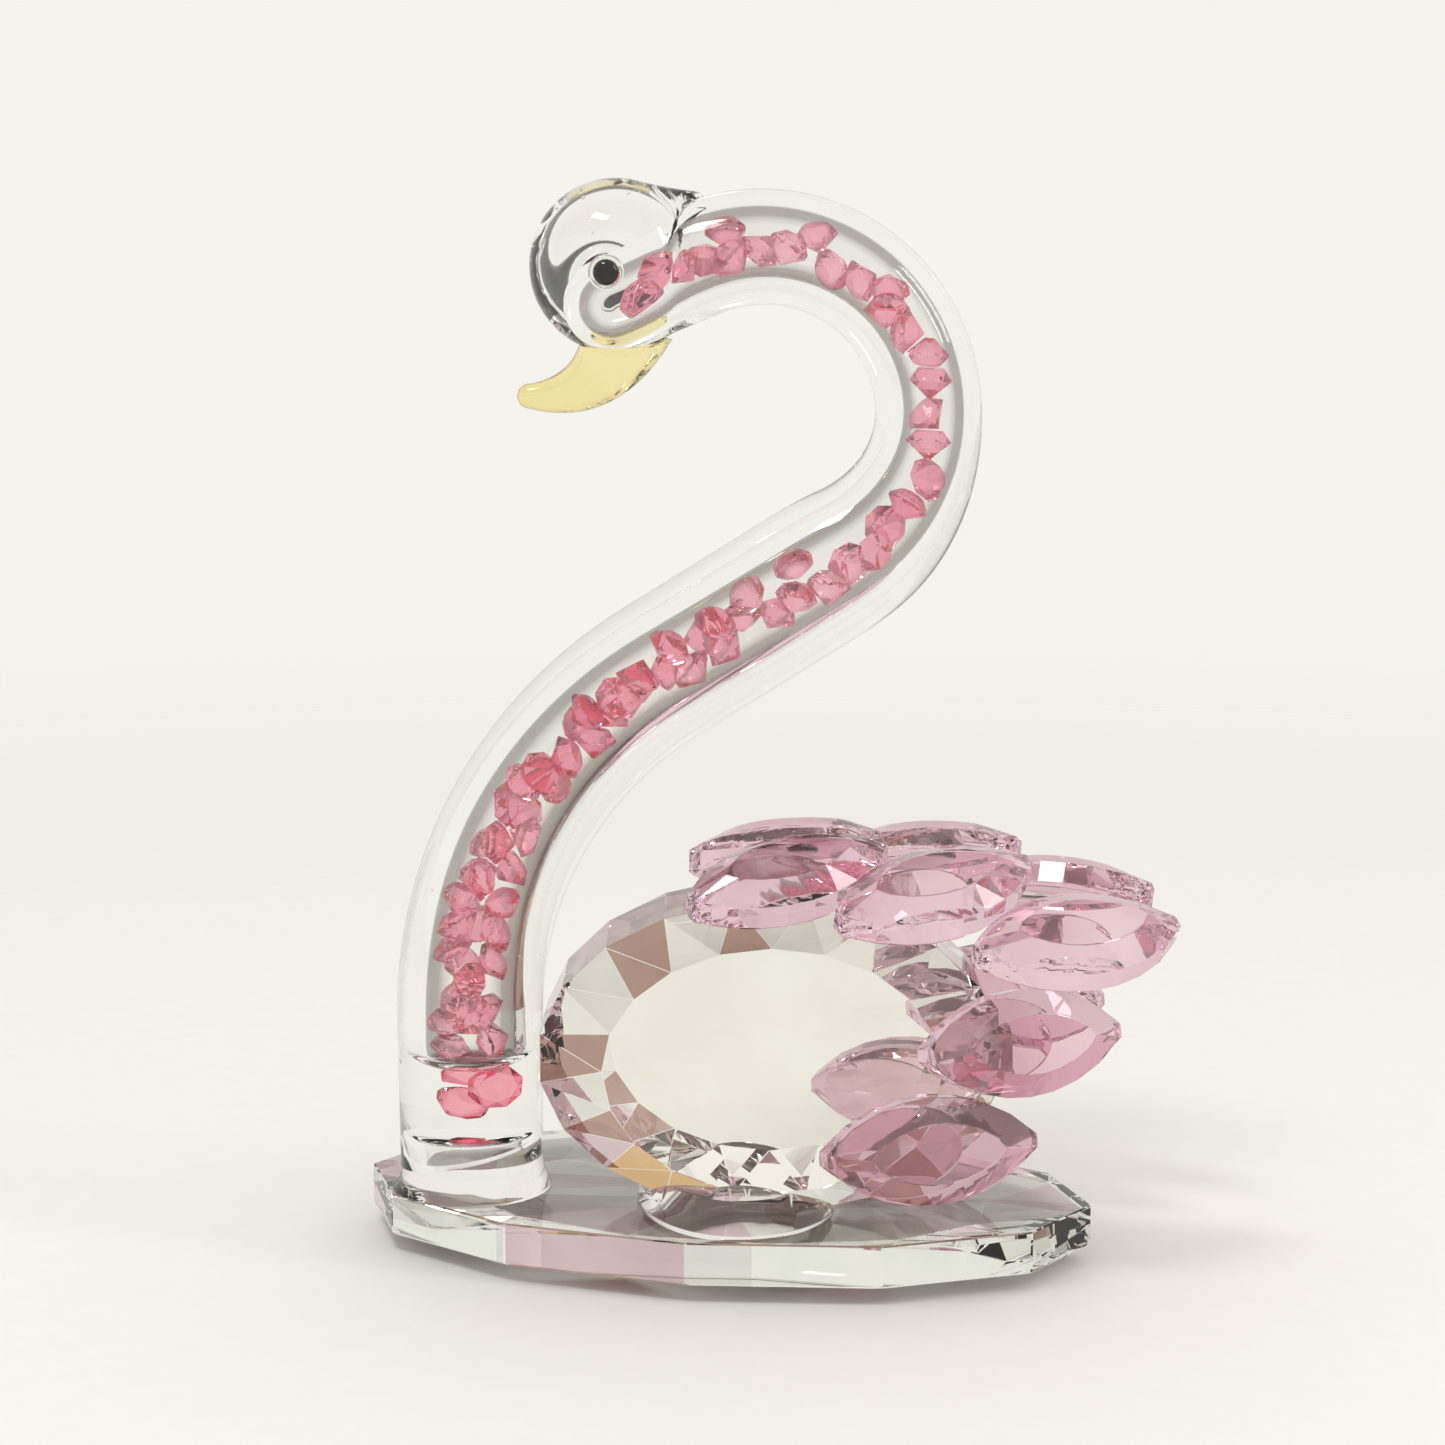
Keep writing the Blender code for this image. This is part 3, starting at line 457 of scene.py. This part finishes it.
def dropMesh(middle):
    # the head's drop of glass: a ball drawn out to a tail that lies on the neck
    h = headShape
    radius = h["radius"] * mm
    reach = h["tailReach"] * mm
    angle = math.radians(h["tailAngle"])
    axis = Vector((math.cos(angle), 0, math.sin(angle)))
    side = Vector((-math.sin(angle), 0, math.cos(angle)))
    width = h["width"] / (2 * h["radius"])
    touch = math.acos(radius / reach)
    rings = []
    for k in range(1, h["ballRings"] + 1):
        turn = math.pi - (math.pi - touch) * k / h["ballRings"]
        rings.append((middle + axis * (radius * math.cos(turn)), radius * math.sin(turn)))
    start = rings[-1]
    for k in range(1, h["tailRings"] + 1):
        share = k / (h["tailRings"] + 0.5)
        spot = start[0].lerp(middle + axis * reach, share)
        rings.append((spot, start[1] * (1 - share) * (1 - h["tailHollow"] * share)))
    sections = [(spot, side * size, across * (size * width)) for spot, size in rings]
    return sweep("drop", sections, h["sides"])


def softenCrease(mesh, path, middle):
    # rounds the line where the drop is fused to the tube
    work = bmesh.new()
    work.from_mesh(mesh)
    bmesh.ops.remove_doubles(work, verts=work.verts, dist=0.02 * mm)
    end = path.marks["end"]
    runs = np.linspace(path.marks["head"], end, 40)
    line = np.array([tuple(path.at(r)[0]) for r in runs])
    radius = path.shape["headDiameter"] / 2 * mm
    near = []
    for vert in work.verts:
        toMiddle = (vert.co - middle).length
        toLine = np.linalg.norm(line - np.array(vert.co), axis=1).min()
        onTube = abs(toLine - radius) < headShape["crease"] * mm
        onDrop = abs(toMiddle - headShape["radius"] * mm) < headShape["crease"] * mm
        if onTube and onDrop:
            near.append(vert)
    for _ in range(headShape["creaseRounds"]):
        bmesh.ops.smooth_vert(
            work, verts=near, factor=0.5, use_axis_x=True, use_axis_y=True, use_axis_z=True,
        )
    work.to_mesh(mesh)
    work.free()


def makeNeck(path):
    s = path.shape

    def outer(run):
        return eased(run, path.outer)

    def bore(run):
        return eased(run, path.bore)

    end = path.marks["end"] - s["endShort"] * mm
    below = s["footDiameter"] * mm * math.tan(math.radians(s["footSlant"]))
    rings = tubeRings(path.at, outer, -below, end, s["step"] * mm)
    rings += capRings(path.at, outer, end)
    glass = plainObject("neckGlass", sweep("neckGlass", rings, s["sides"]))
    middle = headMiddle(path)
    combine(glass, plainObject("drop", dropMesh(middle)), "UNION")
    softenCrease(glass.data, path, middle)
    start = s["resinHeight"] * mm
    rings = capRings(path.boreAt, bore, start, forward=False, depth=s["meniscus"])[::-1]
    rings += tubeRings(path.boreAt, bore, start, end, s["step"] * mm)
    rings += capRings(path.boreAt, bore, end)
    combine(glass, plainObject("bore", sweep("bore", rings, s["boreSides"])), "DIFFERENCE")
    recess = tubeRings(path.boreAt, bore, -below, s["recess"] * mm, s["recessStep"] * mm)
    recess += capRings(path.boreAt, bore, s["recess"] * mm, depth=s["recessDome"])
    combine(glass, plainObject("recess", sweep("recess", recess, s["boreSides"])), "DIFFERENCE")
    combine(glass, footCutter(path), "DIFFERENCE")
    addBubbles(glass.data, middle, path)
    smoothAll(glass.data, s["smoothAngle"])
    mesh = glass.data
    bpy.data.objects.remove(glass)
    piece = addPiece("neckAndHead", mesh, "clearGlass", "clear_glass", "neck_and_head", "resin_plug")
    runs = np.linspace(start, end, s["boreSamples"])
    line = np.array([tuple(path.boreAt(r)[0]) for r in runs])
    sizes = np.array([bore(r) for r in runs])

    radius = headShape["radius"] * mm

    # faces on the bore's wall get its painted shade, faces on the head's surface a lighter painted edge
    # shade
    def glassOf(face):
        away = np.linalg.norm(line - np.array(face.center), axis=1)
        nearest = away.argmin()
        if away[nearest] < sizes[nearest] + neckShape["boreSkin"] * mm:
            return "boreWall"
        place = face.center - middle
        place.y *= 2 * headShape["radius"] / headShape["width"]
        return "headGlass" if abs(place.length - radius) < neckShape["boreSkin"] * mm else None

    shadeFacets(piece, glassOf)
    return piece


# Bubbles of air, from the head's middle: along X, up, along Y, width, height by width
bubbles = [
    (0.6, 5.9, 0.5, 0.62, 1.7), (0.7, 4.4, 0.6, 0.3, 1.0), (-4.6, 3.9, -1.0, 0.34, 1.0),
    (-3.6, 4.1, 0.4, 0.26, 1.0), (-3.1, 3.7, 1.0, 0.2, 1.0), (-5.2, 3.2, 0.2, 0.22, 1.0),
    (-2.2, 4.6, -0.8, 0.36, 1.0), (-1.4, 1.9, 1.4, 0.2, 1.0), (-5.4, 0.4, 0.8, 0.16, 1.0),
    (-4.0, -1.6, 1.2, 0.18, 1.0), (1.6, 4.9, -0.6, 0.18, 1.0),
]

# and from the neck's middle beside the resin: along X, Y and Z, and width
footBubbles = [(-4.9, -0.6, 0.6, 0.34), (-4.7, 0.5, -0.9, 0.22)]


def addBubbles(mesh, middle, path):
    work = bmesh.new()
    work.from_mesh(mesh)
    foot = path.at(path.shape["resinHeight"] * mm * 0.8)[0]
    places = [(middle + Vector((x, y, z)) * mm, size, tall) for x, z, y, size, tall in bubbles]
    places += [(foot + Vector((x, y, z)) * mm, size, 1.0) for x, y, z, size in footBubbles]
    for spot, size, tall in places:
        shape = Matrix.Translation(spot) @ Matrix.Diagonal((size * mm, size * mm, size * tall * mm, 1))
        made = bmesh.ops.create_uvsphere(work, u_segments=12, v_segments=8, radius=0.5, matrix=shape)
        faces = {face for vert in made["verts"] for face in vert.link_faces}
        bmesh.ops.reverse_faces(work, faces=list(faces))
    work.to_mesh(mesh)
    work.free()


def footCutter(path):
    size = path.shape["footDiameter"] * 1.5 * mm
    mesh = bpy.data.meshes.new("footCutter")
    work = bmesh.new()
    bmesh.ops.create_cube(work, size=size)
    turn = Matrix.Rotation(math.radians(-path.shape["footSlant"]), 4, "Y")
    down = Matrix.Translation((0, 0, -size / 2))
    place = Matrix.Translation(path.at(0.0)[0])
    bmesh.ops.transform(work, matrix=place @ turn @ down, verts=work.verts)
    work.to_mesh(mesh)
    work.free()
    return plainObject("footCutter", mesh)


def headMiddle(path):
    tip = path.at(path.marks["end"])[0]
    return tip + Vector((headShape["behind"] * mm, 0, headShape["above"] * mm))


# Beak

beakShape = {
    "root": 7.8, "reach": 8.1, "drop": 5.9, "tip": 2.1, "thickness": 5.4, "back": 0.9,
    "down": 4.7, "hookShare": 0.26, "rings": 30, "sides": 40, "clear": 0.04,
}


def makeBeak(path):
    b = beakShape
    middle = headMiddle(path)
    root = middle + Vector((b["back"] * mm, 0, -b["down"] * mm))
    tip = root + Vector((-b["reach"] * mm, 0, -b["drop"] * mm))
    hook = root + Vector((-b["reach"] * b["hookShare"] * mm, 0, -b["drop"] * 1.05 * mm))
    rings = []
    for k in range(b["rings"]):
        t = k / (b["rings"] - 1)
        centre = root * (1 - t) ** 2 + hook * (2 * t * (1 - t)) + tip * t * t
        ahead = ((hook - root) * (1 - t) + (tip - hook) * t).normalized()
        aside = Vector((-ahead.z, 0, ahead.x))
        wide = (b["root"] + (b["tip"] - b["root"]) * t ** 0.9) * mm / 2
        deep = (b["thickness"] + (b["tip"] - b["thickness"]) * t) * mm / 2
        rings.append((centre, aside * wide, across * deep, ahead))
    centre, wide, deep, ahead = rings[-1]
    sections = [ring[:3] for ring in rings]
    for turn in (15, 30, 45, 60, 75, 86):
        angle = math.radians(turn)
        spot = centre + ahead * (wide.length * math.sin(angle))
        sections.append((spot, wide * math.cos(angle), deep * math.cos(angle)))
    beak = plainObject("beakGlass", sweep("beakGlass", sections, b["sides"]))
    ball = bpy.data.meshes.new("ball")
    work = bmesh.new()
    bmesh.ops.create_uvsphere(work, u_segments=64, v_segments=40, radius=1.0)
    radius = headShape["radius"] + b["clear"]
    size = Matrix.Diagonal((radius * mm, (headShape["width"] / 2 + b["clear"]) * mm, radius * mm, 1))
    bmesh.ops.transform(work, matrix=Matrix.Translation(middle) @ size, verts=work.verts)
    work.to_mesh(ball)
    work.free()
    combine(beak, plainObject("ball", ball), "DIFFERENCE")
    keepLowest(beak.data)
    smoothAll(beak.data, 40)
    mesh = beak.data
    bpy.data.objects.remove(beak)
    return addPiece("amberBeak", mesh, "amberGlass", "amber_glass", "beak")


def keepLowest(mesh):
    work = bmesh.new()
    work.from_mesh(mesh)
    left = set(work.verts)
    groups = []
    while left:
        group = set()
        edge = [left.pop()]
        while edge:
            vert = edge.pop()
            group.add(vert)
            for link in vert.link_edges:
                other = link.other_vert(vert)
                if other in left:
                    left.discard(other)
                    edge.append(other)
        groups.append(group)
    groups.sort(key=lambda g: min(v.co.z for v in g))
    bmesh.ops.delete(work, geom=[v for g in groups[1:] for v in g], context="VERTS")
    work.to_mesh(mesh)
    work.free()


# Eyes

eyeShape = {"core": 2.1, "ring": 2.9, "ringTube": 0.46, "thickness": 1.3, "ringBack": 0.4}


def roundBead(name, middle, diameter, thickness, segments=32):
    mesh = bpy.data.meshes.new(name)
    work = bmesh.new()
    bmesh.ops.create_uvsphere(work, u_segments=segments, v_segments=segments // 2, radius=0.5)
    size = Matrix.Diagonal((diameter * mm, thickness * mm, diameter * mm, 1))
    bmesh.ops.transform(work, matrix=Matrix.Translation(middle) @ size, verts=work.verts)
    work.to_mesh(mesh)
    work.free()
    mesh.shade_smooth()
    return mesh


def hoop(name, middle, diameter, tube, count=40, sides=14):
    # an upright ring of glass round the eye's back, just clear of the head
    points, faces = [], []
    radius = (diameter - tube) / 2 * mm
    for k in range(count):
        turn = 2 * math.pi * k / count
        out = Vector((math.cos(turn), 0, math.sin(turn)))
        for j in range(sides):
            lean = 2 * math.pi * j / sides
            spot = out * (radius + tube / 2 * mm * math.cos(lean))
            points.append(middle + spot + across * (tube * 0.7 * mm * math.sin(lean)))
    for k in range(count):
        for j in range(sides):
            a, b = k * sides, (k + 1) % count * sides
            after = (j + 1) % sides
            faces.append((a + j, a + after, b + after, b + j))
    mesh = meshFrom(name, points, faces)
    mesh.shade_smooth()
    return mesh


def makeEyes():
    e = eyeShape
    for side, node in ((-1, "eye_near"), (1, "eye_far")):
        middle = boxMiddle(node)
        label = node.split("_")[1].capitalize()
        mesh = roundBead("eye" + label, middle, e["core"], e["thickness"])
        addPiece("eye" + label, mesh, "blackBead", "black_glass", node)
        back = middle - across * (side * e["ringBack"] * mm)
        ring = hoop("eyeRing" + label, back, e["ring"], e["ringTube"])
        addPiece("eyeRing" + label, ring, "clearGlass", "clear_glass")


# Cut stones and crystal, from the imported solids

def cutMesh(node, bevel):
    # the solid's own facets, with every edge polished off a little
    work = bmesh.new()
    work.from_mesh(nodes[node].data)
    bmesh.ops.remove_doubles(work, verts=work.verts, dist=0.005 * mm)
    angle = math.radians(2)
    bmesh.ops.dissolve_limit(work, angle_limit=angle, verts=work.verts, edges=work.edges)
    if bevel > 0:
        bmesh.ops.bevel(
            work, geom=list(work.edges), offset=bevel * mm, offset_type="OFFSET",
            segments=1, profile=0.5, affect="EDGES", clamp_overlap=True,
        )
    mesh = bpy.data.meshes.new(node)
    work.to_mesh(mesh)
    work.free()
    return mesh


def shadeFacets(piece, choose):
    # gives single facets of a cut piece another look: painted reflections on the body and plate, painted
    # edge shade on the neck's bore wall and head
    names = []
    mesh = piece.data
    for face in mesh.polygons:
        name = choose(face)
        if name is None:
            continue
        if name not in names:
            names.append(name)
            mesh.materials.append(looks[name])
        face.material_index = names.index(name) + 1


# zones of the body's painted reflections, given as tinted facets
# angles in degrees from the tail, over the back and round to the plate
bodyZones = {
    "least": 1.2, "stripStart": 95, "stripEnd": 200, "stripWidth": 13, "amber": (208, 238),
    "mauveStart": 200, "mauveEnd": 262, "rimSmoky": (100, 175), "rimMauve": (185, 250), "turn": 9,
    "bevel": 0.04,
}


def bodyReflectionFacets(draw):
    # painted reflections: the front facets beside the neck are tinted taupe and grey by turns, the lowest
    # amber
    z = bodyZones

    def choose(face):
        if face.area < z["least"] * mm * mm or abs(face.normal.y) > 0.95:
            return None
        place = Vector(face.center) - bodyMiddle
        angle = math.degrees(math.atan2(place.z, place.x)) % 360
        chance = draw.random()
        step = round(angle / z["turn"]) % 4
        if face.normal.y < -0.1:
            if z["stripStart"] < angle < z["stripEnd"]:
                strip = int((angle - z["stripStart"]) / z["stripWidth"])
                return ("smokyFacet", "mistFacet", None)[strip % 3]
            if z["amber"][0] < angle < z["amber"][1]:
                return "amberFacet"
            if z["mauveStart"] <= angle < z["mauveEnd"]:
                return "mauveFacet" if step % 2 else "smokyFacet"
        onRim = abs(face.normal.y) < 0.1
        if onRim and z["rimSmoky"][0] < angle < z["rimSmoky"][1]:
            return "smokyFacet"
        if onRim and z["rimMauve"][0] < angle < z["rimMauve"][1]:
            return "mauveFacet"
        return ("smokyFacet", "mistFacet", "mistFacet", None, None, None)[int(chance * 6)]
    return choose


plateParts = {
    "least": 2.0, "flatLeast": 100.0, "bevel": 0.12,
    "top": ("mistFacet", None, "mauveFacet", None, "mistFacet", "smokyFacet", None),
    "under": ("smokyFacet", None, "mistFacet", "mauveFacet", "mistFacet", None),
    "rim": ("mistFacet", "mauveFacet", None, None, None),
    "slant": ("smokyFacet", "mistFacet", "smokyFacet", None, "mistFacet", None),
}


def plateReflectionFacets(draw):
    # each part of the plate draws its facets' painted reflections from its own list
    def choose(face):
        if face.area < plateParts["least"] * mm * mm:
            return None
        chance = draw.random()
        if face.normal.z > 0.9:
            part = "top"
        elif face.normal.z < -0.9:
            part = "under"
        else:
            part = "rim" if abs(face.normal.z) < 0.2 else "slant"
        return plateParts[part][int(chance * len(plateParts[part]))]
    return choose


def plateMesh():
    # the flat top and underside are split into fans, for the facets that show through, which get painted
    # reflections
    mesh = cutMesh("base_plate", plateParts["bevel"])
    work = bmesh.new()
    work.from_mesh(mesh)
    least = plateParts["flatLeast"] * mm * mm
    flat = [face for face in work.faces if abs(face.normal.z) > 0.9 and face.calc_area() > least]
    bmesh.ops.poke(work, faces=flat)
    work.to_mesh(mesh)
    work.free()
    return mesh


def makeCutPieces():
    plate = addPiece("plateCrystal", plateMesh(), "plateCrystal", "cut_crystal", "base_plate")
    shadeFacets(plate, plateReflectionFacets(random.Random(3)))
    mesh = cutMesh("body_crystal", bodyZones["bevel"])
    body = addPiece("bodyCrystal", mesh, "bodyCrystal", "cut_crystal", "body_crystal")
    shadeFacets(body, bodyReflectionFacets(random.Random(8)))


# Feather stones

stoneShape = {
    "tip": 1.1, "girdle": 2.3, "tableLength": 0.64, "tableWidth": 0.56, "backTaper": 0.95,
    "backEdge": 0.35, "stations": 8, "bevel": 0.05,
    "padLength": 10.6, "padWidth": 6.2, "padThickness": 0.24, "padShift": 2.4, "padGap": 0.02,
}


class StoneFrame:
    # where a packed stone lies: its middle line, its width and its thickness
    def __init__(self, node):
        points = np.array([tuple(v.co) for v in nodes[node].data.vertices])
        ways = np.linalg.svd(points - points.mean(axis=0), full_matrices=False)[2]
        self.along, self.wide, self.thick = ways
        depth = points @ self.thick
        if (depth > depth.max() - 0.2 * mm).sum() > (depth < depth.min() + 0.2 * mm).sum():
            self.thick = -self.thick
        if self.along[0] < 0:
            self.along = -self.along
        spans = [points @ way for way in (self.along, self.wide, self.thick)]
        self.low = [span.min() for span in spans]
        self.size = [span.max() - span.min() for span in spans]

    def at(self, along, wide, thick):
        # along and wide from the middle, thick from the back, in metres
        a = self.low[0] + self.size[0] / 2 + along
        w = self.low[1] + self.size[1] / 2 + wide
        return Vector(self.along * a + self.wide * w + self.thick * (self.low[2] + thick))


def stoneMesh(name, where):
    s = stoneShape
    length, width, depth = where.size
    tip = s["tip"] * mm
    half = length / 2
    rise = (width - tip) / 2
    radius = (half * half + rise * rise) / (2 * rise)
    count = s["stations"]

    def edge(x):
        return math.sqrt(radius * radius - x * x) - (radius - rise) + tip / 2

    stations = [-half + length * k / count for k in range(count + 1)]
    between = [-half + length * (k + 0.5) / count for k in range(count)]
    rim = [(x, edge(x)) for x in stations] + [(x, -edge(x)) for x in reversed(stations)]
    table = [(-half, 0.0)] + [(x, edge(x)) for x in between]
    table += [(half, 0.0)] + [(x, -edge(x)) for x in reversed(between)]
    taper = s["backTaper"]
    points = [where.at(x * taper, w * taper, 0.0) for x, w in rim]
    points += [where.at(x, w, s["backEdge"] * mm) for x, w in rim]
    points += [where.at(x, w, s["girdle"] * mm) for x, w in rim]
    points += [where.at(x * s["tableLength"], w * s["tableWidth"], depth) for x, w in table]
    size = len(rim)
    faces = [tuple(range(size)), tuple(3 * size + k for k in range(size))]
    for k in range(size):
        after = (k + 1) % size
        for ring in (0, size):
            faces.append((ring + k, ring + after, ring + size + after, ring + size + k))
        faces.append((2 * size + k, 2 * size + after, 3 * size + after))
        faces.append((2 * size + k, 3 * size + after, 3 * size + k))
    return meshFrom(name, points, faces)


def polish(mesh, bevel):
    work = bmesh.new()
    work.from_mesh(mesh)
    bmesh.ops.bevel(
        work, geom=list(work.edges), offset=bevel * mm, offset_type="OFFSET",
        segments=1, profile=0.5, affect="EDGES", clamp_overlap=True,
    )
    work.to_mesh(mesh)
    work.free()


def padMesh(name, where):
    # the oval of glue between the stone's back and the body
    s = stoneShape
    rings = []
    for share, depth in ((0.9, 0.0), (1.0, 0.35), (0.97, 0.75), (0.8, 1.0)):
        spot = where.at(-s["padShift"] * mm, 0.0, -(s["padGap"] + depth * s["padThickness"]) * mm)
        along = Vector(where.along) * (s["padLength"] / 2 * share * mm)
        rings.append((spot, along, Vector(where.wide) * (s["padWidth"] / 2 * share * mm)))
    mesh = sweep(name, rings, 40)
    smoothAll(mesh, 30)
    return mesh


def makeStones():
    for node in sorted(nodes):
        if node.startswith("feather"):
            label = "".join(word.capitalize() for word in node.split("_")[1:])
            where = StoneFrame(node)
            mesh = stoneMesh("stone" + label, where)
            polish(mesh, stoneShape["bevel"])
            addPiece("stone" + label, mesh, "roseStone", "rose_stone_glass", node)
            pad = padMesh("gluePad" + label, where)
            addPiece("gluePad" + label, pad, "clearGlue", "clear_resin")


# Glue under the neck and the body

glueShape = {
    "footFlare": 0.7, "poolLength": 17.0, "poolWidth": 25.0, "poolHeight": 4.2, "poolShift": -2.6,
    "gap": 0.03,
}


def makeFootGlue(path):
    s = path.shape
    g = glueShape
    half = s["footDiameter"] / 2 * mm
    centre = path.at(0.0)[0]
    base = Vector((centre.x, centre.y, plateTop + g["gap"] * mm))
    slant = math.radians(s["footSlant"])
    slope = Vector((math.cos(slant), 0, math.sin(slant)))
    rings = []
    flares = [(0.0, g["footFlare"]), (0.06, g["footFlare"] * 0.95), (0.3, 0.2), (0.65, 0.0), (1.0, -0.1)]
    for share, flare in flares:
        middle = base.lerp(centre - Vector((0, 0, g["gap"] * mm)), share)
        lean = Vector((1, 0, 0)).lerp(slope, share)
        rings.append((middle, lean * (half + flare * mm), across * (half + flare * mm)))
    mesh = sweep("glueFoot", rings, 64)
    smoothAll(mesh, 40)
    addPiece("glueFoot", mesh, "clearGlue", "clear_resin")


def makePool():
    # a pool of glue that fills the wedge between the plate and the body's lower facets
    g = glueShape
    middle = Vector((bodyMiddle.x + g["poolShift"] * mm, bodyMiddle.y, plateTop + g["gap"] * mm))
    rings = []
    for share, rise in ((1.0, 0.0), (1.02, 0.12), (0.985, 0.4), (0.9, 0.72), (0.76, 0.93), (0.6, 1.0)):
        spot = middle + Vector((0, 0, rise * g["poolHeight"] * mm))
        along = Vector((g["poolLength"] / 2 * share * mm, 0, 0))
        rings.append((spot, along, across * (g["poolWidth"] / 2 * share * mm)))
    pool = plainObject("gluePool", sweep("gluePool", rings, 72))
    grown = nodes["body_crystal"].data.copy()
    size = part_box("body_crystal")
    extent = Vector(size[1]) - Vector(size[0])
    scale = [1 + 2 * g["gap"] * mm / part for part in extent]
    for vert in grown.vertices:
        place = vert.co - bodyMiddle
        vert.co = bodyMiddle + Vector([place[k] * scale[k] for k in range(3)])
    combine(pool, plainObject("bodyCutter", grown), "DIFFERENCE")
    mesh = pool.data
    bpy.data.objects.remove(pool)
    smoothAll(mesh, 35)
    addPiece("gluePool", mesh, "clearGlue", "clear_resin")


beadShape = {"cut": 0.16}


def beadMesh(node):
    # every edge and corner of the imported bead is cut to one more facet
    mesh = cutMesh(node, 0)
    polish(mesh, beadShape["cut"])
    return mesh


def makeBeads(path):
    level = path.at(path.shape["resinHeight"] * mm)[0].z
    for node in sorted(nodes):
        if node.startswith("beads"):
            look = "setBead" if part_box(node)[1][2] < level + 1 * mm else "pinkBead"
            label = "beads" + node.split("_")[1]
            addPiece(label, beadMesh(node), look, "pink_bead_glass", node)


# Stage, light and camera

stageLook = {
    "backdrop": rgb(245, 243, 238), "floor": rgb(240, 238, 233), "bandColour": rgb(120, 95, 84),
    "bands": 8, "bandDark": 0.28, "floorRadius": 0.5, "fadeStart": 0.12, "fadeEnd": 0.45,
    "floorDrop": 0.05 * mm, "roomColour": (0.9, 0.89, 0.86, 1),
    "bandEdges": [(0.55, 0.0), (0.95, 1.0)],
    "bandHeights": [(0.3, 0.0), (0.45, 1.0), (0.62, 1.0), (0.8, 0.0)],
}
lamps = {
    "topLamp": {"place": (-0.12, -0.16, 0.42), "size": (0.12, 0.05), "power": 0.4},
    "sideLamp": {"place": (0.3, -0.1, 0.25), "size": (0.04, 0.16), "power": 0.2},
}
lampAim = (0, 0, 0.04)
cameraLook = {
    "distance": 250.0, "lift": 8.5, "lens": 74.74, "ahead": -4.0, "aside": 1.6, "height": 45.3,
}


def makeWorld():
    world = bpy.data.worlds.new("room")
    bpy.context.scene.world = world
    net = Net(world)
    way = net.add("ShaderNodeTexCoord")
    x, y, z = net.add("ShaderNodeSeparateXYZ", None, {0: way}, output=(0, 1, 2))
    azimuth = net.add("ShaderNodeMath", {"operation": "ARCTAN2"}, {0: y, 1: x})
    turn = azimuth * stageLook["bands"] + math.pi
    wave = net.add("ShaderNodeMath", {"operation": "COSINE"}, {0: turn})
    band = net.ramp(wave, stageLook["bandEdges"])
    heightMask = net.ramp(z * 0.5 + 0.5, stageLook["bandHeights"])
    dark = band * heightMask * stageLook["bandDark"]
    room = net.blend(dark, stageLook["roomColour"], stageLook["bandColour"])
    kinds = ("Is Camera Ray", "Is Glossy Ray", "Is Transmission Ray")
    camera, glossy, through = net.add("ShaderNodeLightPath", output=kinds)
    seen = camera.math("MAXIMUM", camera, glossy)
    seen = seen.math("MAXIMUM", seen, through)
    colour = net.blend(seen, room, stageLook["backdrop"])
    background = net.add("ShaderNodeBackground", None, {"Color": colour, "Strength": 1.0})
    net.add("ShaderNodeOutputWorld", None, {"Surface": background})


def makeFloor():
    radius = stageLook["floorRadius"]
    sides = 96
    turns = [2 * math.pi * k / sides for k in range(sides)]
    points = [(radius * math.cos(t), radius * math.sin(t), -stageLook["floorDrop"]) for t in turns]
    floor = plainObject("paleFloor", meshFrom("paleFloor", points, [tuple(range(sides))]))
    made = bpy.data.materials.new("paleFloor")
    net = Net(made)
    place = net.add("ShaderNodeTexCoord", output=3)
    length = net.add("ShaderNodeVectorMath", {"operation": "LENGTH"}, {0: place}, output=1)
    fade = net.add("ShaderNodeMapRange", {"interpolation_type": "SMOOTHSTEP"},
                   {"Value": length, "From Min": stageLook["fadeStart"], "From Max": stageLook["fadeEnd"]})
    paper = net.blend(net.noise(place, 400, 4), stageLook["floor"], rgb(236, 234, 229))
    diffuse = net.add("ShaderNodeBsdfPrincipled", None, {"Base Color": paper, "Roughness": 0.8,
                                                         "Specular IOR Level": 0.2})
    clear = net.add("ShaderNodeBsdfTransparent")
    mixed = net.add("ShaderNodeMixShader", None, {0: fade, 1: diffuse, 2: clear})
    net.add("ShaderNodeOutputMaterial", None, {"Surface": mixed})
    floor.data.materials.append(made)


def makeLamp(name, place, size, power):
    light = bpy.data.lights.new(name, "AREA")
    light.shape = "RECTANGLE"
    light.size, light.size_y = size
    light.energy = power
    lamp = plainObject(name, light)
    lamp.location = place
    lamp.rotation_euler = (Vector(lampAim) - Vector(place)).to_track_quat("-Z", "Y").to_euler()
    return lamp


def makeCamera():
    c = cameraLook
    ahead = bodyMiddle.x + c["ahead"] * mm
    target = Vector((ahead, bodyMiddle.y + c["aside"] * mm, c["height"] * mm))
    lift = math.radians(c["lift"])
    place = target + Vector((0, -math.cos(lift), math.sin(lift))) * (c["distance"] * mm)
    data = bpy.data.cameras.new("photoCamera")
    data.lens = c["lens"]
    data.sensor_width = 36
    data.clip_start = 0.005
    camera = plainObject("photoCamera", data)
    camera.location = place
    camera.rotation_euler = (target - place).to_track_quat("-Z", "Y").to_euler()
    bpy.context.scene.camera = camera


def setCycles():
    scene = bpy.context.scene
    scene.view_settings.view_transform = "Standard"
    scene.cycles.max_bounces = 32
    scene.cycles.transmission_bounces = 32
    scene.cycles.glossy_bounces = 12
    scene.cycles.transparent_max_bounces = 16


path = NeckPath(neckShape)
makeNeck(path)
print("neck and head ready")
makeBeak(path)
makeEyes()
makeCutPieces()
makeStones()
makeFootGlue(path)
makePool()
makeBeads(path)
print("stones and beads ready")
makeWorld()
makeFloor()
for name, lamp in lamps.items():
    makeLamp(name, **lamp)
makeCamera()
setCycles()
